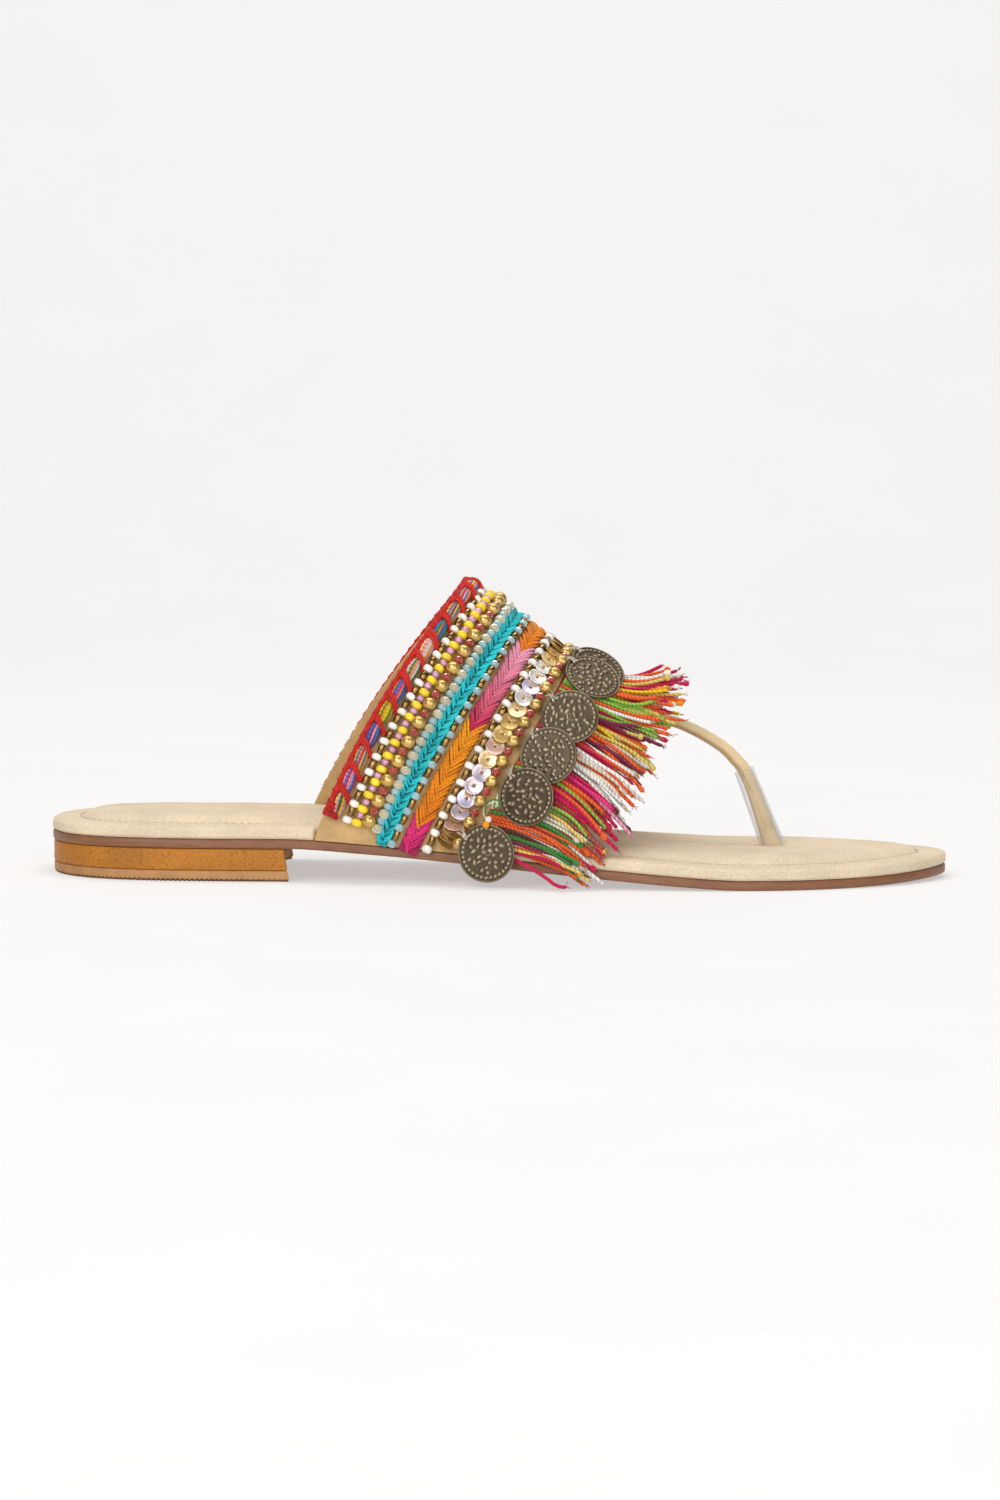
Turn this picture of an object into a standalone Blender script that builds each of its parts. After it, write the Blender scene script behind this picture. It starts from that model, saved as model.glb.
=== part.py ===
"""Right shoe of a pair of flat toe-post mules, with a beaded band, coins and a thread fringe.

X runs from heel to toe, Y to the inner side of the foot and Z up. Lengths are millimetres
until a mesh is made. The origin is the middle of the heel's underside, on the floor.
"""

import math
from collections import namedtuple

import bmesh
import bpy
import numpy as np

MM = 0.001
LATERAL = -1
MEDIAL = 1

# Sole
SOLE_LENGTH = 250.0
BALL_WIDTH = 82.0
CLEARANCE = 0.3
OUTSOLE_THICKNESS = 3.0
OUTSOLE_ROUND = 0.8
SOLE_STEPS = 44
STATION_GAP = 2.5

# Heel
HEEL_LENGTH = 65.5
HEEL_BLOCK_HEIGHT = 5.4
LIFT_THICKNESS = 3.0
HEEL_SETBACK = 0.7
BREAST_DEPTH = 5.0
HEEL_STEPS = 14

# Insole
INSOLE_THICKNESS = 3.3
INSOLE_SETBACK = 0.4
RIM_WIDTH = 8.0
NOTCH_ROOM = 0.8
NOTCH_REAR_ROOM = 1.0
NOTCH_FRONT_ROOM = 3.0
NOTCH_RAMP = 1.0

# Band
INSTEP_HEIGHT = 79.5
BAND_WALL = 1.8
BAND_WIDTH = 41.0
BAND_REAR = 73.0
BAND_LEAN = 43.5
BAND_SETBACK = 0.3
CROWN_OFFSET = 4.0
ARCH_ROUNDNESS = 2.2
BAND_STEPS = 40

# Coins
COIN_DIAMETER = 16.0
COIN_THICKNESS = 0.8
COIN_SIDES = 24
COIN_AHEAD = 7.3
COIN_PROP = 9.0
COIN_TILT = 13.0
COIN_DIP_SHARE = 0.72
CROWN_COIN_RISE = 1.2
CROWN_COIN_TILT = 8.0
# One more coin lies over the crown's, on the lateral side
TOP_COIN_WALK = 8.0
TOP_COIN_TILT = 18.0
TOP_COIN_RISE = 0.35
# How far from the crown each coin of a side is sewn on, along the line that they follow
COIN_WALKS = (15.0, 31.5, 43.8, 56.0)
COIN_FOOT_ROOM = 14.0
LOW_COIN_HEIGHT = 9.6
LOW_COIN_AHEAD = 5.0
LOW_COIN_ROOM = 0.7
LOW_COIN_TURN = 15.0

# Fringe
FRINGE_HEADER_WIDTH = 2.4
FRINGE_HEADER_RISE = 1.0
FRINGE_THICKNESS = 2.4
FOOT_HEADER_RISE = 2.8
HEADER_BEND = (0.08, 0.24)
LOCK_WIDTH = 5.0
LOCK_LEAD = 0.45
LOCK_SWAY = 0.06
LOCK_SWAY_TURN = 2.4

# Toe strap, toe post and its sleeve
POST_ALONG = 201.8
POST_ACROSS = 6.5
POST_LEAN = 21.8
POST_DIAMETER = 5.6
STRAP_SIDES = 12
STRAP_STEPS = 26
STRAP_START = 0.72
SLEEVE_LENGTH = 23.0
SLEEVE_WALL = 0.4
SLEEVE_TOP_ROOM = 0.2
SLEEVE_SIDES = 20

# The sole from rear to toe. along is a share of SOLE_LENGTH, lateral and medial are shares of
# BALL_WIDTH to each side of the axis, and rise is a share of the heel's height.
SoleSection = namedtuple("SoleSection", "along lateral medial rise")
SOLE_SECTIONS = [
    SoleSection(0.000, 0.000, 0.000, 1.00),
    SoleSection(0.012, 0.170, 0.170, 1.00),
    SoleSection(0.040, 0.275, 0.275, 1.00),
    SoleSection(0.090, 0.345, 0.345, 1.00),
    SoleSection(0.160, 0.368, 0.375, 1.00),
    SoleSection(0.266, 0.357, 0.367, 1.00),
    SoleSection(0.360, 0.358, 0.338, 0.85),
    SoleSection(0.460, 0.392, 0.325, 0.64),
    SoleSection(0.560, 0.450, 0.356, 0.41),
    SoleSection(0.640, 0.482, 0.415, 0.23),
    SoleSection(0.700, 0.491, 0.460, 0.10),
    SoleSection(0.770, 0.480, 0.495, 0.00),
    SoleSection(0.820, 0.450, 0.502, 0.00),
    SoleSection(0.865, 0.395, 0.472, 0.00),
    SoleSection(0.920, 0.300, 0.398, 0.03),
    SoleSection(0.960, 0.195, 0.300, 0.08),
    SoleSection(0.985, 0.090, 0.200, 0.12),
    SoleSection(1.000, -0.040, 0.040, 0.15),
]

# The insole's rim, groove and cushion from the lower edge inwards. inset is a share of
# RIM_WIDTH and height a share of INSOLE_THICKNESS.
InsoleStep = namedtuple("InsoleStep", "inset height")
INSOLE_STEPS = [
    InsoleStep(0.08, 0.00),
    InsoleStep(0.00, 0.25),
    InsoleStep(0.00, 0.65),
    InsoleStep(0.11, 0.92),
    InsoleStep(0.32, 1.03),
    InsoleStep(0.80, 1.00),
    InsoleStep(0.98, 0.88),
    InsoleStep(1.16, 1.08),
    InsoleStep(1.45, 1.28),
    InsoleStep(1.75, 1.36),
]

# The band from its rear edge to its front edge. across, lateral, medial, crown and bow are
# shares of BAND_WIDTH: where the section leaves the sole on each side, where it tops out past
# the lean, and how far it bows to the rear. height is a share of INSTEP_HEIGHT.
BandSection = namedtuple("BandSection", "across lateral medial crown height bow")
BAND_SECTIONS = [
    BandSection(0.00, 0.045, -0.085, -0.065, 1.000, 0.090),
    BandSection(0.25, 0.300, 0.205, 0.125, 0.957, 0.070),
    BandSection(0.50, 0.537, 0.500, 0.335, 0.890, 0.050),
    BandSection(0.75, 0.805, 0.790, 0.515, 0.822, 0.036),
    BandSection(1.00, 1.073, 1.073, 0.690, 0.750, 0.012),
]

# Trim, beads and embroidery on the band. across is a share of BAND_WIDTH, and width, height
# and foot_gap are millimetres: foot_gap is how far above the sole a row ends.
Row = namedtuple("Row", "name across width height foot_gap finish")
ROWS = [
    Row("trim_cord", 0.045, 3.6, 3.0, 6.0, "red_thread"),
    Row("row_white_bugle", 0.164, 2.4, 2.4, 4.6, "white_glass"),
    Row("row_yellow_lilac", 0.233, 2.4, 2.4, 4.0, "yellow_glass"),
    Row("row_gold_red", 0.309, 3.0, 3.2, 4.0, "gold_bead"),
    Row("row_clear_blue", 0.385, 2.4, 2.4, 2.6, "blue_glass"),
    Row("row_teal_braid", 0.4545, 2.4, 1.8, 0.6, "teal_thread"),
    Row("row_blue_bugle", 0.527, 2.4, 2.4, 0.6, "blue_glass"),
    Row("row_leaf_stitch", 0.639, 5.8, 1.5, 0.6, "orange_thread"),
    Row("row_white_bugle_front", 0.7515, 2.4, 2.4, 0.6, "white_glass"),
    Row("row_sequins", 0.836, 3.6, 2.2, 0.6, "gold_bead"),
    Row("row_gold_front", 0.930, 3.2, 3.2, 0.6, "gold_bead"),
]
# A row's section, as shares of its width and height
ProfilePoint = namedtuple("ProfilePoint", "wide high")
ROW_PROFILE = [
    ProfilePoint(-0.50, 0.0),
    ProfilePoint(-0.50, 0.5),
    ProfilePoint(-0.25, 1.0),
    ProfilePoint(0.25, 1.0),
    ProfilePoint(0.50, 0.5),
    ProfilePoint(0.50, 0.0),
]
ROW_STEPS = 30

# How the fringe's locks run, by the height of their root as a share of the band's front edge.
# forward, outward and drop are shares of FRINGE_LENGTH.
FRINGE_LENGTH = 37.0
LockRun = namedtuple("LockRun", "height forward outward drop")
LOCK_RUNS = [
    LockRun(0.00, 0.96, 0.27, 0.17),
    LockRun(0.35, 0.97, 0.22, 0.22),
    LockRun(0.70, 0.93, 0.16, 0.19),
    LockRun(1.00, 0.88, 0.00, 0.13),
]
# A lock from root to tip. along is a share of its length, width a share of its root's, and
# thickness a share of FRINGE_THICKNESS.
LockRing = namedtuple("LockRing", "along width thickness")
LOCK_RINGS = [
    LockRing(0.30, 0.86, 1.00),
    LockRing(0.65, 0.80, 1.10),
    LockRing(1.00, 0.55, 0.60),
]

# The strap between the band's front edge and the sleeve's top. forward and height are shares
# of the way from the one to the other.
StrapPoint = namedtuple("StrapPoint", "forward height")
STRAP_MIDDLE = [
    StrapPoint(0.180, 0.270),
    StrapPoint(0.384, 0.435),
    StrapPoint(0.628, 0.536),
    StrapPoint(0.724, 0.609),
    StrapPoint(0.819, 0.703),
    StrapPoint(0.899, 0.801),
    StrapPoint(0.956, 0.906),
]
# Half width and half thickness of the strap and post, as shares of POST_DIAMETER
StrapSection = namedtuple("StrapSection", "along half_width half_thickness")
STRAP_SECTIONS = [
    StrapSection(0.00, 0.50, 0.18),
    StrapSection(0.20, 0.46, 0.22),
    StrapSection(0.45, 0.38, 0.27),
    StrapSection(0.62, 0.31, 0.30),
    StrapSection(0.75, 0.34, 0.34),
    StrapSection(1.00, 0.50, 0.50),
]

# Base colour, roughness and metallic value of each finish
FINISHES = {
    "outsole_leather": ((0.36, 0.13, 0.06), 0.50, 0.0),
    "heel_leather": ((0.52, 0.22, 0.04), 0.55, 0.0),
    "lift_rubber": ((0.50, 0.27, 0.12), 0.70, 0.0),
    "insole_suede": ((0.76, 0.66, 0.47), 0.85, 0.0),
    "band_suede": ((0.58, 0.38, 0.17), 0.85, 0.0),
    "strap_leather": ((0.74, 0.60, 0.40), 0.65, 0.0),
    "clear_plastic": ((0.90, 0.92, 0.95), 0.10, 0.0),
    "coin_brass": ((0.10, 0.09, 0.06), 0.45, 1.0),
    "fringe_thread": ((0.80, 0.16, 0.10), 0.90, 0.0),
    "red_thread": ((0.68, 0.03, 0.02), 0.85, 0.0),
    "teal_thread": ((0.02, 0.45, 0.45), 0.70, 0.0),
    "orange_thread": ((0.90, 0.32, 0.02), 0.70, 0.0),
    "white_glass": ((0.85, 0.85, 0.82), 0.20, 0.0),
    "yellow_glass": ((0.90, 0.65, 0.03), 0.20, 0.0),
    "blue_glass": ((0.45, 0.65, 0.70), 0.15, 0.0),
    "gold_bead": ((0.62, 0.42, 0.14), 0.30, 1.0),
}
SHARP_EDGE = math.radians(40)

HEEL_HEIGHT = LIFT_THICKNESS + HEEL_BLOCK_HEIGHT + 2 * CLEARANCE
INSOLE_BASE = OUTSOLE_THICKNESS + CLEARANCE
CUSHION_TOP = INSOLE_BASE + INSOLE_STEPS[-1].height * INSOLE_THICKNESS
ORIGIN_ALONG = HEEL_LENGTH / 2


def clear_scene():
    for old in list(bpy.data.objects):
        bpy.data.objects.remove(old, do_unlink=True)


def smooth(knots, values, at):
    """A cubic through the knots that keeps a level stretch level, and runs straight past its ends."""
    knots = np.asarray(knots, float)
    values = np.asarray(values, float)
    gaps = np.diff(knots)
    slopes = np.diff(values) / gaps
    tangents = np.zeros(len(knots))
    tangents[0] = slopes[0]
    tangents[-1] = slopes[-1]
    for i in range(1, len(knots) - 1):
        if slopes[i - 1] * slopes[i] > 0:
            tangents[i] = 2 * slopes[i - 1] * slopes[i] / (slopes[i - 1] + slopes[i])
    inside = np.clip(at, knots[0], knots[-1])
    i = np.clip(np.searchsorted(knots, inside, side="right") - 1, 0, len(gaps) - 1)
    s = (inside - knots[i]) / gaps[i]
    start = values[i] * (1 + 2 * s) * (1 - s) ** 2 + tangents[i] * gaps[i] * s * (1 - s) ** 2
    end = values[i + 1] * s * s * (3 - 2 * s) + tangents[i + 1] * gaps[i] * s * s * (s - 1)
    beyond = np.where(at > knots[-1], tangents[-1], tangents[0]) * (at - inside)
    return start + end + beyond


def flowing(knots, values, at):
    """A natural cubic spline through the knots, whose curvature runs on without a break."""
    knots = np.asarray(knots, float)
    values = np.asarray(values, float)
    gaps = np.diff(knots)
    count = len(knots)
    system = np.eye(count)
    bends = np.zeros(count)
    for i in range(1, count - 1):
        system[i, i - 1 : i + 2] = gaps[i - 1], 2 * (gaps[i - 1] + gaps[i]), gaps[i]
        bends[i] = 6 * ((values[i + 1] - values[i]) / gaps[i] - (values[i] - values[i - 1]) / gaps[i - 1])
    bends = np.linalg.solve(system, bends)
    i = np.clip(np.searchsorted(knots, at, side="right") - 1, 0, count - 2)
    after = knots[i + 1] - at
    before = at - knots[i]
    gap = gaps[i]
    cubic = (bends[i] * after**3 + bends[i + 1] * before**3) / (6 * gap)
    start = (values[i] / gap - bends[i] * gap / 6) * after
    return cubic + start + (values[i + 1] / gap - bends[i + 1] * gap / 6) * before


def column(table, name):
    return [getattr(row, name) for row in table]


def side_column(table, side):
    return column(table, "lateral" if side == LATERAL else "medial")


def finish_material(name):
    material = bpy.data.materials.new(name)
    material.use_nodes = True
    colour, roughness, metallic = FINISHES[name]
    shader = material.node_tree.nodes["Principled BSDF"]
    shader.inputs["Base Color"].default_value = (*colour, 1.0)
    shader.inputs["Roughness"].default_value = roughness
    shader.inputs["Metallic"].default_value = metallic
    return material


def add_solid(name, points, faces, finish):
    """A closed solid with its faces out. The points are millimetres along, across and up."""
    moved = np.asarray(points, float) - (ORIGIN_ALONG, 0.0, 0.0)
    mesh = bpy.data.meshes.new(name)
    mesh.from_pydata((moved * MM).tolist(), [], [list(face) for face in faces])
    shaped = bmesh.new()
    shaped.from_mesh(mesh)
    bmesh.ops.recalc_face_normals(shaped, faces=shaped.faces)
    if shaped.calc_volume(signed=True) < 0:
        bmesh.ops.reverse_faces(shaped, faces=shaped.faces)
    shaped.to_mesh(mesh)
    shaped.free()
    mesh.shade_smooth()
    mesh.set_sharp_from_angle(angle=SHARP_EDGE)
    mesh.materials.append(finish_material(finish))
    solid = bpy.data.objects.new(name, mesh)
    bpy.context.scene.collection.objects.link(solid)
    return solid


def tube_faces(rings, count):
    """Faces between rings of count points each, with a flat cap at both ends."""
    faces = []
    for ring in range(rings - 1):
        for i in range(count):
            j = (i + 1) % count
            low = ring * count
            faces.append((low + i, low + j, low + count + j, low + count + i))
    faces.append(tuple(range(count)))
    faces.append(tuple(range((rings - 1) * count, rings * count)))
    return faces


# The sole's outline and profile


def edge_across(along, side):
    """Y of the sole's edge on one side, at a distance from the rear."""
    shares = side_column(SOLE_SECTIONS, side)
    turn = np.arccos(1 - 2 * np.array(column(SOLE_SECTIONS, "along")))
    here = np.arccos(1 - 2 * np.clip(np.asarray(along) / SOLE_LENGTH, 0, 1))
    return side * BALL_WIDTH * flowing(turn, shares, here)


def underside(along):
    """Height of the outsole's underside above the floor."""
    rises = column(SOLE_SECTIONS, "rise")
    return HEEL_HEIGHT * smooth(column(SOLE_SECTIONS, "along"), rises, np.asarray(along) / SOLE_LENGTH)


def notch_stations(side):
    """Where the insole is let in for a foot of the band and the fringe's root, with its ramps."""
    shares = side_column(BAND_SECTIONS, side)
    rear = BAND_REAR + shares[0] * BAND_WIDTH - NOTCH_REAR_ROOM
    front = BAND_REAR + shares[-1] * BAND_WIDTH + FRINGE_HEADER_WIDTH + NOTCH_FRONT_ROOM
    return [rear - NOTCH_RAMP, rear, front, front + NOTCH_RAMP]


def notch_depths(ring):
    """How far the insole is let in at each point of the sole's ring."""
    deep = BAND_SETBACK + BAND_WALL + NOTCH_ROOM - INSOLE_SETBACK
    steps = [0.0, deep, deep, 0.0]
    lateral = np.interp(ring[:, 0], notch_stations(LATERAL), steps)
    medial = np.interp(ring[:, 0], notch_stations(MEDIAL), steps)
    return np.where(ring[:, 1] < 0, lateral, medial)


def sole_stations():
    """Distances from the rear for the sole's sections, closer together round heel and toe."""
    flat = [row.along * SOLE_LENGTH for row in SOLE_SECTIONS if row.rise == 0]
    level = [row.along * SOLE_LENGTH for row in SOLE_SECTIONS if row.rise == 1]
    fixed = {*notch_stations(LATERAL), *notch_stations(MEDIAL), level[-1], *flat}
    kept = list(fixed)
    for i in range(1, SOLE_STEPS):
        station = SOLE_LENGTH * (1 - math.cos(math.pi * i / SOLE_STEPS)) / 2
        if min(abs(station - other) for other in fixed) > STATION_GAP:
            kept.append(station)
    return sorted(kept)


def sole_ring():
    """The sole's outline as XY points: rear, lateral side, toe, and back along the medial side."""
    stations = np.array(sole_stations())
    lateral = np.stack([stations, edge_across(stations, LATERAL)], axis=1)
    medial = np.stack([stations, edge_across(stations, MEDIAL)], axis=1)
    rear = [(0.0, float(edge_across(0.0, MEDIAL)))]
    toe = [(SOLE_LENGTH, float(edge_across(SOLE_LENGTH, MEDIAL)))]
    return np.concatenate([rear, lateral, toe, medial[::-1]])


def inset_ring(ring, depths):
    """The ring with each point moved inwards by its depth."""
    ahead = np.roll(ring, -1, axis=0) - ring
    behind = np.roll(ahead, 1, axis=0)
    ratio = np.linalg.norm(behind, axis=1) / np.linalg.norm(ahead, axis=1)
    tangents = ahead * ratio[:, None] + behind / ratio[:, None]
    tangents /= np.linalg.norm(tangents, axis=1)[:, None]
    inwards = np.stack([-tangents[:, 1], tangents[:, 0]], axis=1)
    return ring + inwards * np.reshape(depths, (-1, 1))


def sole_layer(ring, depths, height):
    """A ring of points at a height above the sole's underside."""
    flat = inset_ring(ring, np.broadcast_to(depths, len(ring)))
    return np.column_stack([flat, underside(flat[:, 0]) + height])


def ladder_cap(count, offset):
    """Faces that close a sole ring by joining its lateral points to its medial ones."""
    half = count // 2
    faces = [(offset, offset + 1, offset + count - 1)]
    for i in range(1, half - 1):
        faces.append((offset + i, offset + i + 1, offset + count - i - 1, offset + count - i))
    faces.append((offset + half - 1, offset + half, offset + half + 1))
    return faces


def layered_solid(name, layers, finish):
    count = len(layers[0])
    faces = tube_faces(len(layers), count)[:-2]
    faces += ladder_cap(count, 0) + ladder_cap(count, (len(layers) - 1) * count)
    return add_solid(name, np.concatenate(layers), faces, finish)


def make_outsole():
    ring = sole_ring()
    layers = [
        sole_layer(ring, OUTSOLE_ROUND, 0.0),
        sole_layer(ring, 0.0, OUTSOLE_ROUND),
        sole_layer(ring, 0.0, OUTSOLE_THICKNESS - CLEARANCE),
        sole_layer(ring, CLEARANCE, OUTSOLE_THICKNESS),
    ]
    layered_solid("outsole", layers, "outsole_leather")


def make_insole():
    ring = sole_ring()
    layers = []
    for step in INSOLE_STEPS:
        fade = max(0.0, 1 - step.inset / INSOLE_STEPS[5].inset)
        depths = INSOLE_SETBACK + step.inset * RIM_WIDTH + notch_depths(ring) * fade
        layers.append(sole_layer(ring, depths, INSOLE_BASE + step.height * INSOLE_THICKNESS))
    insole = layered_solid("insole", layers, "insole_suede")
    base, axis = post_base()
    reach = 2 * CUSHION_TOP
    radius = POST_DIAMETER / 2 + CLEARANCE
    rings = [axis_ring(base + axis * end, axis, radius, SLEEVE_SIDES) for end in (-reach, reach)]
    cutter = add_solid("post_hole", np.concatenate(rings), tube_faces(2, SLEEVE_SIDES), "insole_suede")
    cutter.hide_render = True
    cutter.display_type = "WIRE"
    cut = insole.modifiers.new("post_hole", "BOOLEAN")
    cut.operation = "DIFFERENCE"
    cut.object = cutter


def heel_outline(setback):
    """The heel's plan: round the rear of the sole, and a hollow breast across the front."""
    stations = HEEL_LENGTH * (1 - np.cos(np.linspace(0, math.pi / 2, HEEL_STEPS + 1)[1:]))
    lateral = np.stack([stations, edge_across(stations, LATERAL)], axis=1)
    medial = np.stack([stations, edge_across(stations, MEDIAL)], axis=1)
    ring = np.concatenate([[(0.0, 0.0)], lateral, medial[::-1]])
    moved = inset_ring(ring, np.full(len(ring), setback))
    last = len(stations)
    moved[last] = lateral[-1] + (0, setback)
    moved[last + 1] = medial[-1] - (0, setback)
    shares = np.linspace(-1, 1, HEEL_STEPS + 1)[1:-1]
    middle = (moved[last, 1] + moved[last + 1, 1]) / 2
    reach = (moved[last + 1, 1] - moved[last, 1]) / 2
    breast = np.stack([HEEL_LENGTH - BREAST_DEPTH * (1 - shares**2), middle + reach * shares], axis=1)
    return np.concatenate([moved[: last + 1], breast, moved[last + 1 :]])


def make_heel_piece(name, bottom, thickness, setback, finish):
    plan = heel_outline(setback)
    low = np.column_stack([plan, np.full(len(plan), bottom)])
    high = low + (0.0, 0.0, thickness)
    add_solid(name, np.concatenate([low, high]), tube_faces(2, len(plan)), finish)


# The band's surface. Its place is given by around, which is -1 at the lateral foot, 0 at the
# crown and 1 at the medial foot, and by across, from 0 at the rear edge to 1 at the front.


def band_values(across, side):
    knots = column(BAND_SECTIONS, "across")
    foot = BAND_REAR + BAND_WIDTH * smooth(knots, side_column(BAND_SECTIONS, side), across)
    crown = BAND_REAR + BAND_LEAN + BAND_WIDTH * smooth(knots, column(BAND_SECTIONS, "crown"), across)
    height = INSTEP_HEIGHT * smooth(knots, column(BAND_SECTIONS, "height"), across)
    bow = BAND_WIDTH * smooth(knots, column(BAND_SECTIONS, "bow"), across)
    return foot, crown, height, bow


def on_surface(around, across):
    side = LATERAL if around < 0 else MEDIAL
    foot, crown, height, bow = band_values(across, side)
    turn = (1 - abs(around)) * math.pi / 2
    rise = math.sin(turn) ** (2 / ARCH_ROUNDNESS)
    spread = max(math.cos(turn), 0.0) ** (2 / ARCH_ROUNDNESS)
    edge = edge_across(foot, side) - side * BAND_SETBACK
    along = foot + (crown - foot) * rise - bow * 4 * rise * (1 - rise)
    floor = underside(foot) + INSOLE_BASE
    return np.array([along, CROWN_OFFSET + (edge - CROWN_OFFSET) * spread, floor + (height - floor) * rise])


def surface_normal(around, across):
    """The outward normal of the band's face."""
    step = 0.02
    low, high = max(around - step, -1.0), min(around + step, 1.0)
    round_it = on_surface(high, across) - on_surface(low, across)
    over_it = on_surface(around, across + step) - on_surface(around, across - step)
    normal = np.cross(over_it, round_it)
    return normal / np.linalg.norm(normal)


def band_point(around, across, lift=0.0):
    return on_surface(around, across) + lift * surface_normal(around, across)


def around_at(height, across, side):
    """The place around the band at a height above the band's foot."""
    foot, _, top, _ = band_values(across, side)
    share = height / (top - underside(foot) - INSOLE_BASE)
    return side * (1 - math.asin(share ** (ARCH_ROUNDNESS / 2)) / (math.pi / 2))


def make_band():
    """One wall over the instep, open at front and rear, with its feet on the outsole."""
    arounds = np.linspace(-1, 1, BAND_STEPS + 1)
    acrosses = np.linspace(0, 1, 2 * len(BAND_SECTIONS) - 1)
    rings = []
    for around in arounds:
        outer = [band_point(around, across) for across in acrosses]
        inner = [band_point(around, across, -BAND_WALL) for across in acrosses[::-1]]
        rings.append(np.array(outer + inner))
    count = 2 * len(acrosses)
    faces = tube_faces(len(rings), count)[:-2]
    for offset in (0, (len(rings) - 1) * count):
        for i in range(len(acrosses) - 1):
            faces.append((offset + i, offset + i + 1, offset + count - i - 2, offset + count - i - 1))
    add_solid("upper_band", np.concatenate(rings), faces, "band_suede")


def make_row(row):
    """A raised row that follows the band from above one side of the sole to the other."""
    points = []
    lateral_end = around_at(row.foot_gap, row.across, LATERAL)
    medial_end = around_at(row.foot_gap, row.across, MEDIAL)
    for around in np.linspace(lateral_end, medial_end, ROW_STEPS + 1):
        for point in ROW_PROFILE:
            across = row.across + row.width * point.wide / BAND_WIDTH
            points.append(band_point(around, across, CLEARANCE + row.height * point.high))
    add_solid(row.name, points, tube_faces(ROW_STEPS + 1, len(ROW_PROFILE)), row.finish)


# Coins along the band's front edge


def axis_ring(centre, axis, radius, sides):
    """A circle of points about a centre, square to an axis."""
    axis = np.asarray(axis) / np.linalg.norm(axis)
    first = np.cross(axis, (0.0, 1.0, 0.0) if abs(axis[1]) < 0.9 else (0.0, 0.0, 1.0))
    first /= np.linalg.norm(first)
    second = np.cross(axis, first)
    turns = np.linspace(0, 2 * math.pi, sides, endpoint=False)
    return centre + radius * (np.outer(np.cos(turns), first) + np.outer(np.sin(turns), second))


def add_coin(name, centre, normal):
    face = normal * COIN_THICKNESS / 2
    lower = axis_ring(centre - face, normal, COIN_DIAMETER / 2, COIN_SIDES)
    upper = axis_ring(centre + face, normal, COIN_DIAMETER / 2, COIN_SIDES)
    add_solid(name, np.concatenate([lower, upper]), tube_faces(2, COIN_SIDES), "coin_brass")


def coin_places(across):
    """Each coin's name, its place on the line that they follow, its tilt and its extra rise."""
    places = []
    for side in (LATERAL, MEDIAL):
        arounds = side * np.linspace(0, 1, 200)
        line = np.array([band_point(around, across) for around in arounds])
        walked = np.concatenate([[0], np.cumsum(np.linalg.norm(np.diff(line, axis=0), axis=1))])
        if side == LATERAL:
            places.append(("coin_top", np.interp(TOP_COIN_WALK, walked, arounds), TOP_COIN_TILT, TOP_COIN_RISE))
        for walk in COIN_WALKS:
            if walk < walked[-1] - COIN_FOOT_ROOM:
                name = f"coin_{sum(place[2] == COIN_TILT for place in places) + 1}"
                places.append((name, np.interp(walk, walked, arounds), COIN_TILT, 0.0))
    return places


def propped_normal(around, across):
    """The normal of a coin whose front edge rests on the threads."""
    ahead = band_point(around, across + 0.01) - band_point(around, across)
    ahead /= np.linalg.norm(ahead)
    prop = math.radians(COIN_PROP)
    return surface_normal(around, across) * math.cos(prop) - ahead * math.sin(prop)


def leaning_normal(around, across, to_crown, tilt):
    """The propped normal, tilted away from the crown by an angle in degrees."""
    tilt = math.radians(tilt)
    return propped_normal(around, across) * math.cos(tilt) - to_crown * math.sin(tilt)


def make_coins():
    """Each coin lies over the one above it, and the last on each side hangs beside the sole."""
    across = 1 + COIN_AHEAD / BAND_WIDTH
    flat_lift = FRINGE_HEADER_RISE + CLEARANCE + COIN_THICKNESS / 2
    flat_lift += COIN_AHEAD * math.sin(math.radians(COIN_PROP))
    lift = flat_lift + COIN_DIAMETER / 2 * math.sin(math.radians(COIN_TILT)) * COIN_DIP_SHARE
    crown = band_point(0.0, across, flat_lift + CROWN_COIN_RISE)
    medial = np.array([0.0, 1.0, 0.0])
    add_coin("coin_crown", crown, leaning_normal(0.0, across, medial, CROWN_COIN_TILT))
    for name, around, tilt, rise in coin_places(across):
        to_crown = band_point(around * 0.98, across) - band_point(around, across)
        to_crown /= np.linalg.norm(to_crown)
        centre = band_point(around, across, lift + rise)
        add_coin(name, centre, leaning_normal(around, across, to_crown, tilt))
    turn = math.radians(LOW_COIN_TURN)
    room = FOOT_HEADER_RISE + FRINGE_THICKNESS + LOW_COIN_ROOM
    for name, side in (("coin_low_lateral", LATERAL), ("coin_low_medial", MEDIAL)):
        foot = band_values(1.0, side)[0] + LOW_COIN_AHEAD
        outside = edge_across(foot, side) + side * room
        centre = np.array([foot, outside, LOW_COIN_HEIGHT])
        add_coin(name, centre, np.array([-math.sin(turn), side * math.cos(turn), 0.0]))


# Fringe


def outside_sole(point, side):
    """The point, moved off the sole's edge where it hangs lower than the insole's top."""
    along, across, height = point
    if height < underside(along) + CUSHION_TOP + 4 * CLEARANCE:
        edge = abs(edge_across(along, side)) + 2 * CLEARANCE
        across = side * max(side * across, edge)
    return np.array([along, across, height])


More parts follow.
